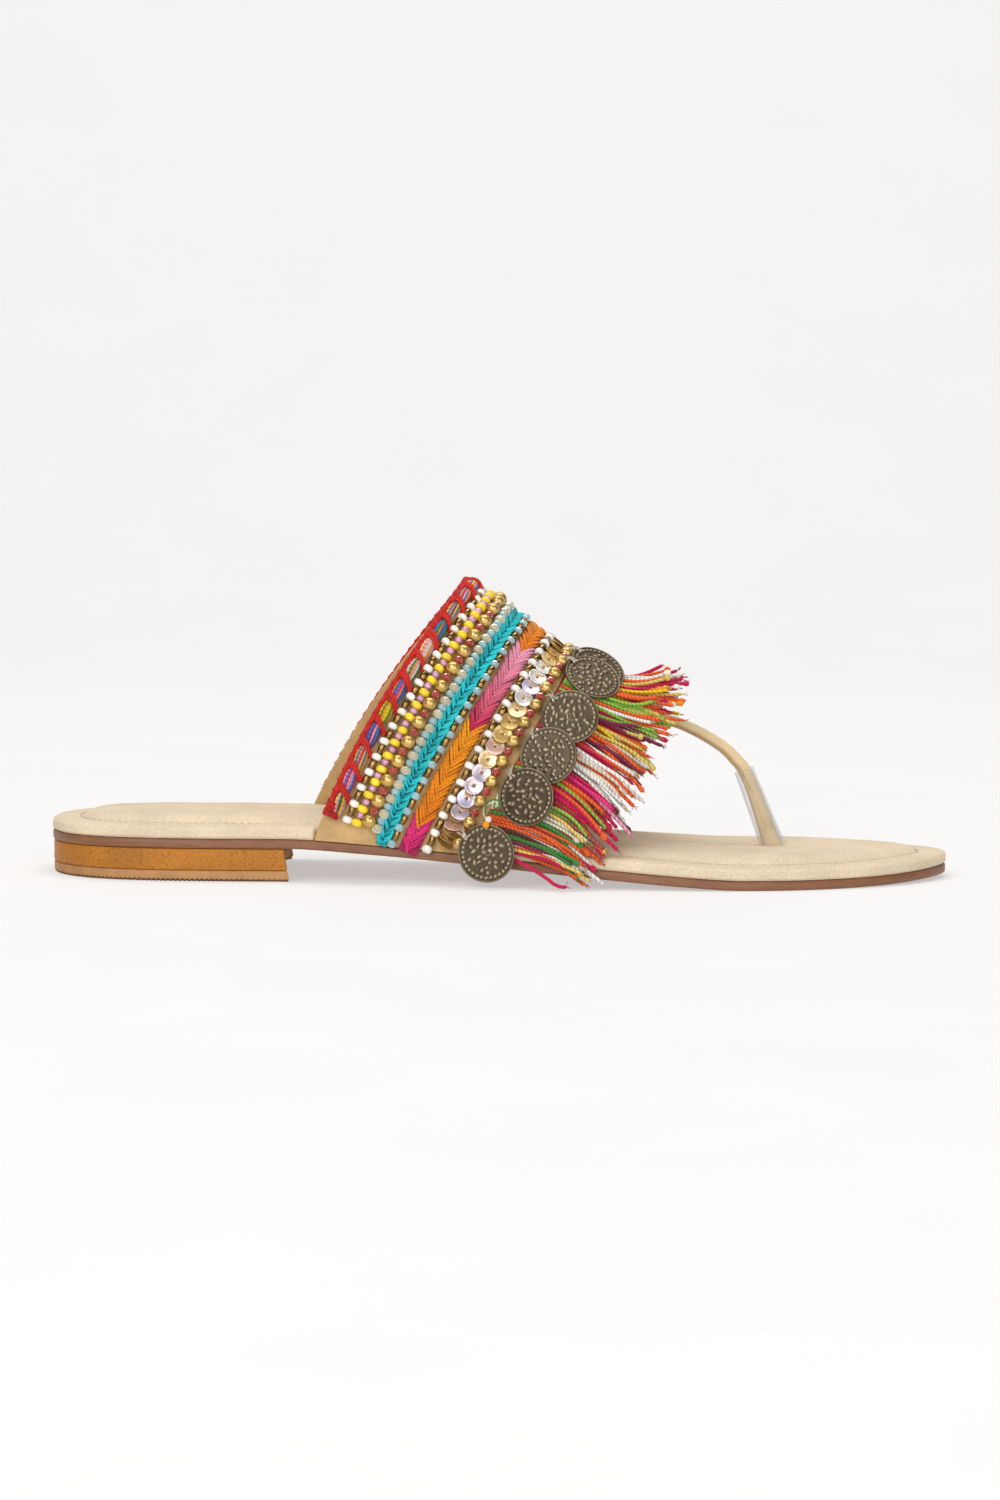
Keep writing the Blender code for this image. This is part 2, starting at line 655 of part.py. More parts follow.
def header_corner(around, forward, upper):
    """A point of the fringe's root strip. Near the sole the strip lies outside the sole's edge."""
    across = 1 + (CLEARANCE + forward * FRINGE_HEADER_WIDTH) / BAND_WIDTH
    point = on_surface(around, across)
    foot, _, top, _ = band_values(across, LATERAL if around < 0 else MEDIAL)
    floor = underside(foot) + INSOLE_BASE
    share = (point[2] - floor) / (top - floor)
    low = np.interp(share, HEADER_BEND, [3 * CLEARANCE, -BAND_WALL / 2])
    high = np.interp(share, HEADER_BEND, [FOOT_HEADER_RISE, FRINGE_HEADER_RISE])
    return band_point(around, across, high if upper else low), share


def lock_reach(around, lock):
    """The way from a lock's root to its tip."""
    share = header_corner(around, 1, True)[1]
    heights = column(LOCK_RUNS, "height")
    forward, outward, drop = (
        float(smooth(heights, column(LOCK_RUNS, name), share)) for name in ("forward", "outward", "drop")
    )
    sway = 1 + LOCK_SWAY * math.sin(LOCK_SWAY_TURN * lock)
    side = LATERAL if around < 0 else MEDIAL
    return FRINGE_LENGTH * sway * np.array([forward, side * outward, -drop])


def lock_rings(around, root, reach):
    """The rings of a lock that leaves the root in line with the band and bends to its reach."""
    normal = surface_normal(around, 1.0)
    middle = root.mean(axis=0)
    up = np.outer((root - middle) @ normal, normal)
    flat = root - middle - up
    thicker = FRINGE_THICKNESS / np.linalg.norm(root[1] - root[4])
    lead = band_point(around, 1 + LOCK_LEAD * FRINGE_LENGTH / BAND_WIDTH) - band_point(around, 1.0)
    side = LATERAL if around < 0 else MEDIAL
    rings = []
    for ring in LOCK_RINGS:
        centre = middle + 2 * ring.along * (1 - ring.along) * lead + ring.along**2 * reach
        fresh = centre + flat * ring.width + up * ring.thickness * thicker
        rings.append([outside_sole(point, side) for point in fresh])
    return rings


def make_fringe():
    """A root strip along the band's front edge, with tapered locks fused on side by side."""
    edge = [on_surface(around, 1.0) for around in np.linspace(-1, 1, 200)]
    length = sum(np.linalg.norm(np.diff(edge, axis=0), axis=1))
    locks = int(length / LOCK_WIDTH)
    arounds = np.linspace(-0.995, 0.995, 2 * locks + 1)
    points = []
    for around in arounds:
        for forward, upper in ((0, False), (0, True), (1, True), (1, False)):
            points.append(header_corner(around, forward, upper)[0])
    faces = []
    for j in range(2 * locks):
        low, high = 4 * j, 4 * j + 4
        faces += [(low + k, high + k, high + (k + 1) % 4, low + (k + 1) % 4) for k in (0, 1, 3)]
    faces.append((0, 1, 2, 3))
    faces.append(tuple(8 * locks + k for k in range(4)))
    for lock in range(locks):
        first = 8 * lock
        ring = [first + 2, first + 6, first + 10, first + 11, first + 7, first + 3]
        root = np.array([points[i] for i in ring])
        around = arounds[2 * lock + 1]
        for fresh in lock_rings(around, root, lock_reach(around, lock)):
            new_ring = list(range(len(points), len(points) + len(ring)))
            points += fresh
            for i in range(len(ring)):
                j = (i + 1) % len(ring)
                faces.append((ring[i], ring[j], new_ring[j], new_ring[i]))
            ring = new_ring
        faces.append((ring[0], ring[1], ring[4], ring[5]))
        faces.append((ring[1], ring[2], ring[3], ring[4]))
    add_solid("fringe", points, faces, "fringe_thread")


# Toe strap and sleeve


def post_base():
    """Where the post's axis meets the cushion, and the axis, which leans back as it rises."""
    lean = math.radians(POST_LEAN)
    base = np.array([POST_ALONG, POST_ACROSS, float(underside(POST_ALONG)) + CUSHION_TOP])
    return base, np.array([-math.sin(lean), 0.0, math.cos(lean)])


def strap_route():
    """The strap's centre line, from under the band to the post's lower end in the insole."""
    base, axis = post_base()
    under = -(BAND_WALL + CLEARANCE + STRAP_SECTIONS[1].half_thickness * POST_DIAMETER)
    hidden = band_point(0.0, STRAP_START, under)
    front = band_point(0.0, 1.0, under)
    sleeve_top = base + axis * (SLEEVE_LENGTH + CLEARANCE)
    way = sleeve_top - front
    middle = [front + way * (point.forward, point.forward, point.height) for point in STRAP_MIDDLE]
    sunk = (CUSHION_TOP - INSOLE_BASE) / axis[2] - POST_DIAMETER / 2 * math.sin(math.radians(POST_LEAN))
    return np.array([hidden, front, *middle, sleeve_top, base, base - axis * sunk])


def make_toe_strap():
    route = strap_route()
    walked = np.concatenate([[0], np.cumsum(np.linalg.norm(np.diff(route, axis=0), axis=1))])
    shares = walked / walked[-1]
    at = np.linspace(0, 1, STRAP_STEPS + 1)
    line = np.stack([smooth(shares, route[:, k], at) for k in range(3)], axis=1)
    tangents = np.gradient(line, axis=0)
    knots = column(STRAP_SECTIONS, "along")
    wide = POST_DIAMETER * smooth(knots, column(STRAP_SECTIONS, "half_width"), at)
    thick = POST_DIAMETER * smooth(knots, column(STRAP_SECTIONS, "half_thickness"), at)
    turns = np.linspace(0, 2 * math.pi, STRAP_SIDES, endpoint=False)
    rings = []
    for i in range(len(line)):
        up = np.cross(tangents[i], (0.0, 1.0, 0.0))
        up /= np.linalg.norm(up)
        across = np.cross(up, tangents[i] / np.linalg.norm(tangents[i]))
        sideways = np.outer(np.cos(turns) * wide[i], across)
        rings.append(line[i] + sideways + np.outer(np.sin(turns) * thick[i], up))
    add_solid("toe_strap", np.concatenate(rings), tube_faces(len(rings), STRAP_SIDES), "strap_leather")


def level_foot(ring, axis, height):
    """The ring with each point slid along the axis to one height."""
    return ring + np.outer((height - ring[:, 2]) / axis[2], axis)


def make_sleeve():
    """A thin tube round the post, a little wider at its foot, which stands level on the cushion."""
    base, axis = post_base()
    top = base + axis * SLEEVE_LENGTH
    foot_radius = POST_DIAMETER * STRAP_SECTIONS[-1].half_width + CLEARANCE
    top_radius = POST_DIAMETER * STRAP_SECTIONS[-2].half_width + CLEARANCE + SLEEVE_TOP_ROOM
    rings = [
        level_foot(axis_ring(base, axis, foot_radius + SLEEVE_WALL, SLEEVE_SIDES), axis, base[2] + CLEARANCE),
        axis_ring(top, axis, top_radius + SLEEVE_WALL, SLEEVE_SIDES),
        axis_ring(top, axis, top_radius, SLEEVE_SIDES),
        level_foot(axis_ring(base, axis, foot_radius, SLEEVE_SIDES), axis, base[2] + CLEARANCE),
    ]
    faces = tube_faces(4, SLEEVE_SIDES)[:-2]
    for i in range(SLEEVE_SIDES):
        j = (i + 1) % SLEEVE_SIDES
        faces.append((i, j, 3 * SLEEVE_SIDES + j, 3 * SLEEVE_SIDES + i))
    add_solid("post_sleeve", np.concatenate(rings), faces, "clear_plastic")


def main():
    clear_scene()
    make_outsole()
    make_heel_piece("top_lift", 0.0, LIFT_THICKNESS, CLEARANCE, "lift_rubber")
    make_heel_piece("heel_block", LIFT_THICKNESS + CLEARANCE, HEEL_BLOCK_HEIGHT, HEEL_SETBACK, "heel_leather")
    make_insole()
    make_band()
    for row in ROWS:
        make_row(row)
    make_coins()
    make_fringe()
    make_toe_strap()
    make_sleeve()


main()
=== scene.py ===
"""Looks of the embellished toe-post sandal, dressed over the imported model.

Lengths are millimetres until a mesh is made: along from the rear of the sole, across to the
inner side of the foot, and up from the floor. On a row of the band t runs along the row, n
stands out from the band and f points towards the toe.
"""
import math
from collections import namedtuple

import bpy
from mathutils import Matrix
import numpy as np


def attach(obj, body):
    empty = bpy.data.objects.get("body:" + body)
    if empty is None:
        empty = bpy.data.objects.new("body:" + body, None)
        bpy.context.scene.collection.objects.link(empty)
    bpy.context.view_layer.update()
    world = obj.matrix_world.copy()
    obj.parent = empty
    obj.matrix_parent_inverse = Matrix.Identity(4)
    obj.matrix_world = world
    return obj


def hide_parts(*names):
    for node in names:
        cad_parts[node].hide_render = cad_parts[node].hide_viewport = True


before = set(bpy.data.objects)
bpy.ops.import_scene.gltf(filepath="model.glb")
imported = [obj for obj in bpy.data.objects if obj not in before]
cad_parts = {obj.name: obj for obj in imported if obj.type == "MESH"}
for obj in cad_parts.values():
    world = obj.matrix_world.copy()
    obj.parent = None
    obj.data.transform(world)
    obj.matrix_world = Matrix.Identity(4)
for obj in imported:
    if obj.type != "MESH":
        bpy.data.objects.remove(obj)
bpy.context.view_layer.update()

MM = 0.001
TURN = 2 * math.pi
LATERAL, MEDIAL = -1, 1
ORIGIN_ALONG = 32.75


def table(columns, *rows):
    """Rows with named columns, one for each section, point, ring or piece."""
    return [namedtuple("Row", columns)(*row) for row in rows]


# The sizes and tables of part.py
SOLE_LENGTH = 250.0
BALL_WIDTH = 82.0
CLEARANCE = 0.3
HEEL_LENGTH = 65.5
HEEL_HEIGHT = 9.0
LIFT_THICKNESS = 3.0
BREAST_DEPTH = 5.0
BREAST_SKEW, BREAST_BACK = 1.7, 0.5
INSOLE_BASE = 3.3
CUSHION_TOP = 7.788
INSTEP_HEIGHT = 79.5
BAND_WALL = 1.8
BAND_WIDTH = 41.0
BAND_REAR = 73.0
BAND_LEAN = 43.5
BAND_SETBACK = 0.3
CROWN_OFFSET = 4.0
ARCH_ROUNDNESS = 2.2
POST_ALONG, POST_ACROSS = 201.8, 6.5
POST_LEAN = math.radians(21.8)
POST_DIAMETER = 5.6
SLEEVE_LENGTH = 23.0

SOLE_SECTIONS = table(
    "along lateral medial rise",
    (0.000, 0.000, 0.000, 1.00), (0.012, 0.170, 0.170, 1.00), (0.040, 0.275, 0.275, 1.00),
    (0.090, 0.345, 0.345, 1.00), (0.160, 0.368, 0.375, 1.00), (0.266, 0.357, 0.367, 1.00),
    (0.360, 0.358, 0.338, 0.85), (0.460, 0.392, 0.325, 0.64), (0.560, 0.450, 0.356, 0.41),
    (0.640, 0.482, 0.415, 0.23), (0.700, 0.491, 0.460, 0.10), (0.770, 0.480, 0.495, 0.00),
    (0.820, 0.450, 0.502, 0.00), (0.865, 0.395, 0.472, 0.00), (0.920, 0.300, 0.398, 0.03),
    (0.960, 0.195, 0.300, 0.08), (0.985, 0.090, 0.200, 0.12), (1.000, -0.040, 0.040, 0.15))
BAND_SECTIONS = table(
    "across lateral medial crown height bow",
    (0.00, 0.045, -0.085, -0.065, 1.000, 0.090), (0.25, 0.300, 0.205, 0.125, 0.957, 0.070),
    (0.50, 0.537, 0.500, 0.335, 0.890, 0.050), (0.75, 0.805, 0.790, 0.515, 0.822, 0.036),
    (1.00, 1.073, 1.073, 0.690, 0.750, 0.012))


def column(rows, name):
    return np.array([getattr(row, name) for row in rows], float)


def smooth(knots, values, at):
    """A cubic through the knots that keeps a level stretch level, straight past its ends."""
    knots, values, at = np.asarray(knots, float), np.asarray(values, float), np.asarray(at, float)
    gaps = np.diff(knots)
    slopes = np.diff(values) / gaps
    tangents = np.zeros(len(knots))
    tangents[0], tangents[-1] = slopes[0], slopes[-1]
    for i in range(1, len(knots) - 1):
        if slopes[i - 1] * slopes[i] > 0:
            tangents[i] = 2 * slopes[i - 1] * slopes[i] / (slopes[i - 1] + slopes[i])
    inside = np.clip(at, knots[0], knots[-1])
    i = np.clip(np.searchsorted(knots, inside, side="right") - 1, 0, len(gaps) - 1)
    s = (inside - knots[i]) / gaps[i]
    start = values[i] * (1 + 2 * s) * (1 - s) ** 2 + tangents[i] * gaps[i] * s * (1 - s) ** 2
    end = values[i + 1] * s * s * (3 - 2 * s) + tangents[i + 1] * gaps[i] * s * s * (s - 1)
    return start + end + np.where(at > knots[-1], tangents[-1], tangents[0]) * (at - inside)


def smoothed(rows, names, at):
    """The named columns of a table, smoothed over its first column."""
    knots = [row[0] for row in rows]
    return [smooth(knots, column(rows, name), at) for name in names.split()]


def flowing(knots, values, at):
    """A natural cubic spline through the knots."""
    gaps = np.diff(knots)
    count = len(knots)
    system, bends = np.eye(count), np.zeros(count)
    for i in range(1, count - 1):
        system[i, i - 1 : i + 2] = gaps[i - 1], 2 * (gaps[i - 1] + gaps[i]), gaps[i]
        bends[i] = 6 * ((values[i + 1] - values[i]) / gaps[i] - (values[i] - values[i - 1]) / gaps[i - 1])
    bends = np.linalg.solve(system, bends)
    i = np.clip(np.searchsorted(knots, at, side="right") - 1, 0, count - 2)
    after, before, gap = knots[i + 1] - at, at - knots[i], gaps[i]
    cubic = (bends[i] * after**3 + bends[i + 1] * before**3) / (6 * gap)
    start = (values[i] / gap - bends[i] * gap / 6) * after
    return cubic + start + (values[i + 1] / gap - bends[i + 1] * gap / 6) * before


def edge_across(along, side):
    """Y of the sole's edge on one side, or on the side given for each point."""
    turn = np.arccos(1 - 2 * column(SOLE_SECTIONS, "along"))
    here = np.arccos(1 - 2 * np.clip(np.asarray(along, float) / SOLE_LENGTH, 0, 1))
    lateral, medial = (BALL_WIDTH * flowing(turn, column(SOLE_SECTIONS, name), here) for name in ("lateral", "medial"))
    return np.where(np.asarray(side) < 0, -lateral, medial)


def underside(along):
    return HEEL_HEIGHT * smoothed(SOLE_SECTIONS, "rise", np.asarray(along) / SOLE_LENGTH)[0]


# The band's surface: around runs from -1 at the lateral foot over 0 at the crown to 1 at the
# medial foot, and across from 0 at the rear edge to 1 at the front.


def band_values(across, side=LATERAL):
    """Along of the foot and of the crown, height of the crown, and bow, at a share of the width."""
    lateral, medial, crown, height, bow = smoothed(BAND_SECTIONS, "lateral medial crown height bow", across)
    foot = BAND_REAR + BAND_WIDTH * np.where(np.asarray(side) < 0, lateral, medial)
    return foot, BAND_REAR + BAND_LEAN + BAND_WIDTH * crown, INSTEP_HEIGHT * height, BAND_WIDTH * bow


def on_surface(around, across):
    around, across = np.broadcast_arrays(np.asarray(around, float), np.asarray(across, float))
    side = np.where(around < 0, LATERAL, MEDIAL)
    foot, crown, height, bow = band_values(across, side)
    turn = (1 - np.minimum(np.abs(around), 1.0)) * math.pi / 2
    rise = np.sin(turn) ** (2 / ARCH_ROUNDNESS)
    spread = np.maximum(np.cos(turn), 0.0) ** (2 / ARCH_ROUNDNESS)
    edge = edge_across(foot, side) - side * BAND_SETBACK
    along = foot + (crown - foot) * rise - bow * 4 * rise * (1 - rise)
    floor = underside(foot) + INSOLE_BASE
    return np.stack([along, CROWN_OFFSET + (edge - CROWN_OFFSET) * spread, floor + (height - floor) * rise], -1)


def unit(v):
    return v / np.maximum(np.linalg.norm(v, axis=-1, keepdims=True), 1e-9)


def surface_normal(around, across):
    step = 0.02
    around, across = np.broadcast_arrays(np.asarray(around, float), np.asarray(across, float))
    low, high = np.maximum(around - step, -1), np.minimum(around + step, 1)
    round_it = on_surface(high, across) - on_surface(low, across)
    over_it = on_surface(around, across + step) - on_surface(around, across - step)
    return unit(np.cross(over_it, round_it))


def band_point(around, across, lift=0.0):
    return on_surface(around, across) + np.asarray(lift)[..., None] * surface_normal(around, across)


def lengths_along(line):
    """The distance walked to each point of a line."""
    return np.concatenate([[0], np.cumsum(np.linalg.norm(np.diff(line, axis=0), axis=1))])


def at_distance(places, walked, line):
    """Points of a line at distances along it."""
    return np.stack([np.interp(places, walked, line[:, k]) for k in range(line.shape[1])], 1)


def jitter(count, amount, seed):
    return np.random.default_rng(seed).uniform(-amount, amount, count)


# Meshes


def add_mesh(name, points, polygons, materials, indices=None, uv=None, tints=None):
    """A piece from points in millimetres and lists of polygons, each an array with a row a face."""
    points = (np.asarray(points, float).reshape(-1, 3) - (ORIGIN_ALONG, 0, 0)) * MM
    polygons = [np.asarray(p, np.int64) for p in polygons]
    loops = np.concatenate([p.reshape(-1) for p in polygons])
    sizes = np.concatenate([np.full(len(p), p.shape[1]) for p in polygons])
    starts = np.concatenate([[0], np.cumsum(sizes)[:-1]])
    mesh = bpy.data.meshes.new(name)
    mesh.vertices.add(len(points))
    mesh.vertices.foreach_set("co", points.reshape(-1))
    mesh.loops.add(len(loops))
    mesh.loops.foreach_set("vertex_index", loops.astype(np.int32))
    mesh.polygons.add(len(sizes))
    mesh.polygons.foreach_set("loop_start", starts.astype(np.int32))
    mesh.polygons.foreach_set("loop_total", sizes.astype(np.int32))
    for material in materials:
        mesh.materials.append(material)
    if indices is not None:
        mesh.polygons.foreach_set("material_index", np.asarray(indices, np.int32))
    mesh.update(calc_edges=True)
    if uv is not None:
        layer = mesh.uv_layers.new(name="UVMap")
        layer.data.foreach_set("uv", np.asarray(uv, np.float32)[loops].reshape(-1))
    if tints is not None:
        layer = mesh.color_attributes.new("tint", "FLOAT_COLOR", "POINT")
        colours = np.ones((len(points), 4), np.float32)
        colours[:, :3] = tints
        layer.data.foreach_set("color", colours.reshape(-1))
    mesh.shade_smooth()
    mesh.validate()
    piece = bpy.data.objects.new(name, mesh)
    bpy.context.scene.collection.objects.link(piece)
    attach(piece, "root")
    return piece


class Batch:
    """Gathers many small shapes, each with its own material and tint, into one piece."""

    def __init__(self):
        self.points, self.polygons, self.indices, self.uvs, self.tints = [], {}, {}, [], []
        self.total = 0

    def add(self, points, faces, material, tint=(1, 1, 1), uv=None):
        """points (shapes, K, 3); faces, lists of rows into one shape's K points."""
        shapes, count = points.shape[:2]
        offsets = self.total + count * np.arange(shapes)
        for rows in faces:
            width = rows.shape[1]
            self.polygons.setdefault(width, []).append((offsets[:, None, None] + rows[None]).reshape(-1, width))
            self.indices.setdefault(width, []).append(np.full(shapes * len(rows), material))
        self.points.append(points.reshape(-1, 3))
        tint = np.asarray(tint, float)
        if tint.ndim == 2 and len(tint) == shapes:
            tint = np.repeat(tint, count, axis=0)
        self.tints.append(np.broadcast_to(tint, (shapes * count, 3)))
        self.uvs.append(np.tile(np.zeros((count, 2)) if uv is None else uv, (shapes, 1)))
        self.total += shapes * count

    def tubes(self, paths, radii, reference, sides, tint, material=0):
        """Tubes along paths of K points, one or many, with end faces, and UVs round and along them."""
        paths = np.asarray(paths, float)
        paths = paths[None] if paths.ndim == 2 else paths
        count, length = paths.shape[:2]
        tangents = unit(np.gradient(paths, axis=1))
        reference = np.broadcast_to(np.asarray(reference, float), paths.shape)
        first = unit(reference - (reference * tangents).sum(-1, keepdims=True) * tangents)
        second = np.cross(tangents, first)
        radii = np.broadcast_to(np.asarray(radii, float), (count, length))
        around = angles(sides)
        ring = np.cos(around)[:, None] * first[:, :, None] + np.sin(around)[:, None] * second[:, :, None]
        points = (paths[:, :, None] + radii[..., None, None] * ring).reshape(count, length * sides, 3)
        uv = np.stack([np.tile(around / TURN, length), np.repeat(lengths_along(paths[0]), sides)], 1)
        self.add(points, turned(pile_faces(length, sides)), material, tint, uv)

    def make(self, name, materials):
        widths = sorted(self.polygons)
        polygons = [np.concatenate(self.polygons[w]) for w in widths]
        indices = np.concatenate([np.concatenate(self.indices[w]) for w in widths])
        return add_mesh(name, np.concatenate(self.points), polygons, materials, indices,
                        np.concatenate(self.uvs), np.concatenate(self.tints))


def angles(count):
    return np.linspace(0, TURN, count, endpoint=False)


def rings_of(profile, count):
    """Rings about the first axis, from rows of (place on the axis, radius)."""
    around = angles(count)
    return np.concatenate([np.stack([np.full(count, t), r * np.cos(around), r * np.sin(around)], 1)
                           for t, r in profile])


def grid_faces(rows, columns, wrap=False):
    """Quads of a grid of points, row by row, closed round its columns if wrap is set."""
    i, j = np.meshgrid(np.arange(rows - 1), np.arange(columns if wrap else columns - 1), indexing="ij")
    i, j = i.reshape(-1), j.reshape(-1)
    k = (j + 1) % columns
    return np.stack([i * columns + j, i * columns + k, (i + 1) * columns + k, (i + 1) * columns + j], 1)


def pile_faces(rows, count):
    """The sides of a pile of rings, and its two ends."""
    ends = np.array([list(range(count))[::-1], list(range((rows - 1) * count, rows * count))])
    return [grid_faces(rows, count, True), ends]


def shell_faces(rows, count):
    """The sides of a pile of rings whose last ring is joined to the first."""
    k, last = np.arange(count), (rows - 1) * count
    return [grid_faces(rows, count, True), np.stack([last + k, last + (k + 1) % count, (k + 1) % count, k], 1)]


def turned(faces):
    return [rows[:, ::-1] for rows in faces]


def ball_template(radius, length, segments=12, rings=8, square=1.0):
    """A bead about the t axis: points (t, n, f)."""
    lat = np.linspace(0, math.pi, rings + 1)[1:-1]
    t = np.sign(np.cos(lat)) * np.abs(np.cos(lat)) ** square * length / 2
    points = rings_of(zip(t, np.sin(lat) ** square * radius), segments)
    points = np.concatenate([points, [[length / 2, 0, 0], [-length / 2, 0, 0]]])
    k = np.arange(segments)
    last = (len(lat) - 1) * segments
    top = np.stack([np.full(segments, len(points) - 2), (k + 1) % segments, k], 1)
    low = np.stack([np.full(segments, len(points) - 1), last + k, last + (k + 1) % segments], 1)
    return points, [grid_faces(len(lat), segments, True), top, low]


def tube_template(radius, length, sides=8, bevel=0.12):
    """A bugle bead about the t axis."""
    half = length / 2
    profile = [(-half, radius - bevel), (-half + bevel, radius), (half - bevel, radius), (half, radius - bevel)]
    return rings_of(profile, sides), turned(pile_faces(4, sides))


def stamp(batch, template, origins, frames, material, tint, scale=None):
    """A template's points (t, n, f), set at each origin in its frame (t, n, f rows)."""
    points, faces = template
    local = np.broadcast_to(points, (len(origins),) + points.shape)
    if scale is not None:
        local = local * np.asarray(scale)[:, None, :]
    batch.add(np.einsum("ski,sij->skj", local, frames) + origins[:, None], faces, material, tint)


Row = namedtuple("Row", "arounds line normals walked total crown")
ROW_STEPS = 1201
OVERHANG = 3.4


def row_line(across, lift, gap):
    """A dense line along a row of the band, from lateral foot to medial foot.

    It stops this gap above the feet, and with a gap below 0 it hangs on over the sole's edge.
    """
    arounds = np.linspace(-1, 1, ROW_STEPS)
    line = band_point(arounds, across, lift)
    normals = surface_normal(arounds, across)
    past = np.linspace(0.2, OVERHANG, 17)[:, None]
    ends = []
    for side, end, near in ((LATERAL, line[0], line[12]), (MEDIAL, line[-1], line[-13])):
        way = unit((end - near) * (1, 0, 1))
        ends.append(end + past * way + np.minimum(past, 0.5) * (0, side, 0))
    arounds = np.concatenate([-1 - 0.001 * past[::-1, 0], arounds, 1 + 0.001 * past[:, 0]])
    line = np.concatenate([ends[0][::-1], line, ends[1]])
    normals = np.concatenate([np.repeat(normals[:1], len(past), 0), normals, np.repeat(normals[-1:], len(past), 0)])
    floor = on_surface(np.array([-1.0, 1.0]), across)[:, 2]
    keep = line[:, 2] > np.where(arounds < 0, floor[0], floor[1]) + gap
    arounds, line, normals = arounds[keep], line[keep], normals[keep]
    walked = lengths_along(line)
    return Row(arounds, line, normals, walked, walked[-1], np.interp(0.0, arounds, walked))


def reach(row, side):
    """The row's length from the crown to the foot of one side."""
    return row.crown if side < 0 else row.total - row.crown


def from_foot(row, side, first, pitch):
    """Places at a pitch from a foot up to the crown."""
    if side < 0:
        return np.arange(first, row.crown - 0.5, pitch)
    return np.arange(row.total - first, row.crown, -pitch)


def frames_at(row, places):
    """Points and (t, n, f) frames at distances along a row."""
    step = 0.4
    at, ahead, behind = (at_distance(places + d, row.walked, row.line) for d in (0, step, -step))
    t = unit(ahead - behind)
    n = unit(at_distance(places, row.walked, row.normals))
    n = unit(n - (n * t).sum(1, keepdims=True) * t)
    return at, np.stack([t, n, np.cross(t, n)], 1)


def tilted(frames, about_t, about_n, about_f):
    """Frames turned a little about their own axes, by an angle for each."""
    out = frames.copy()
    for axis, angle in enumerate((about_t, about_n, about_f)):
        c, s = np.cos(angle)[:, None], np.sin(angle)[:, None]
        i, j = (axis + 1) % 3, (axis + 2) % 3
        a, b = out[:, i].copy(), out[:, j].copy()
        out[:, i], out[:, j] = c * a + s * b, c * b - s * a
    return out


def strands(batch, row, starts, curves, radius, colours):
    """Threads laid over a row. curves holds (t, n, f) points that each start carries along the row."""
    curves = np.broadcast_to(curves, (len(starts),) + np.shape(curves)[-2:])
    places = np.clip(starts[:, None] + curves[..., 0], 0.05, row.total - 0.05)
    at, axes = frames_at(row, places.reshape(-1))
    paths = at + axes[:, 1] * curves[..., 1].reshape(-1, 1) + axes[:, 2] * curves[..., 2].reshape(-1, 1)
    batch.tubes(paths.reshape(*places.shape, 3), radius, axes[:, 1].reshape(*places.shape, 3), 6, colours)


SHADE_SHEET_STEPS = 120


def shade_sheet_places(row):
    return np.linspace(0.4, row.total - 0.4, SHADE_SHEET_STEPS)


def add_shade_sheet(batch, row, rise, half_width, colours):
    """A sheet under the stitches of a row, in the darkened colour its callers give: painted shade that shows in the
    gaps between the stitches.
    """
    at, axes = frames_at(row, shade_sheet_places(row))
    over = np.linspace(-half_width, half_width, 5)
    low = at[:, None] + axes[:, None, 1] * rise + axes[:, None, 2] * over[None, :, None]
    tint = np.repeat(np.broadcast_to(colours, (SHADE_SHEET_STEPS, 3)), len(over), axis=0)
    batch.add(low.reshape(1, -1, 3), [grid_faces(SHADE_SHEET_STEPS, len(over))], 0, tint)


# Materials


def linear(r, g, b):
    """Linear colour from sRGB values out of 255."""
    return tuple(c / 3294.6 if c <= 10 else ((c / 255 + 0.055) / 1.055) ** 2.4 for c in (r, g, b))


def times(colour, factor):
    return tuple(min(c * factor, 1.0) for c in colour)


def grey(value):
    return (value,) * 3


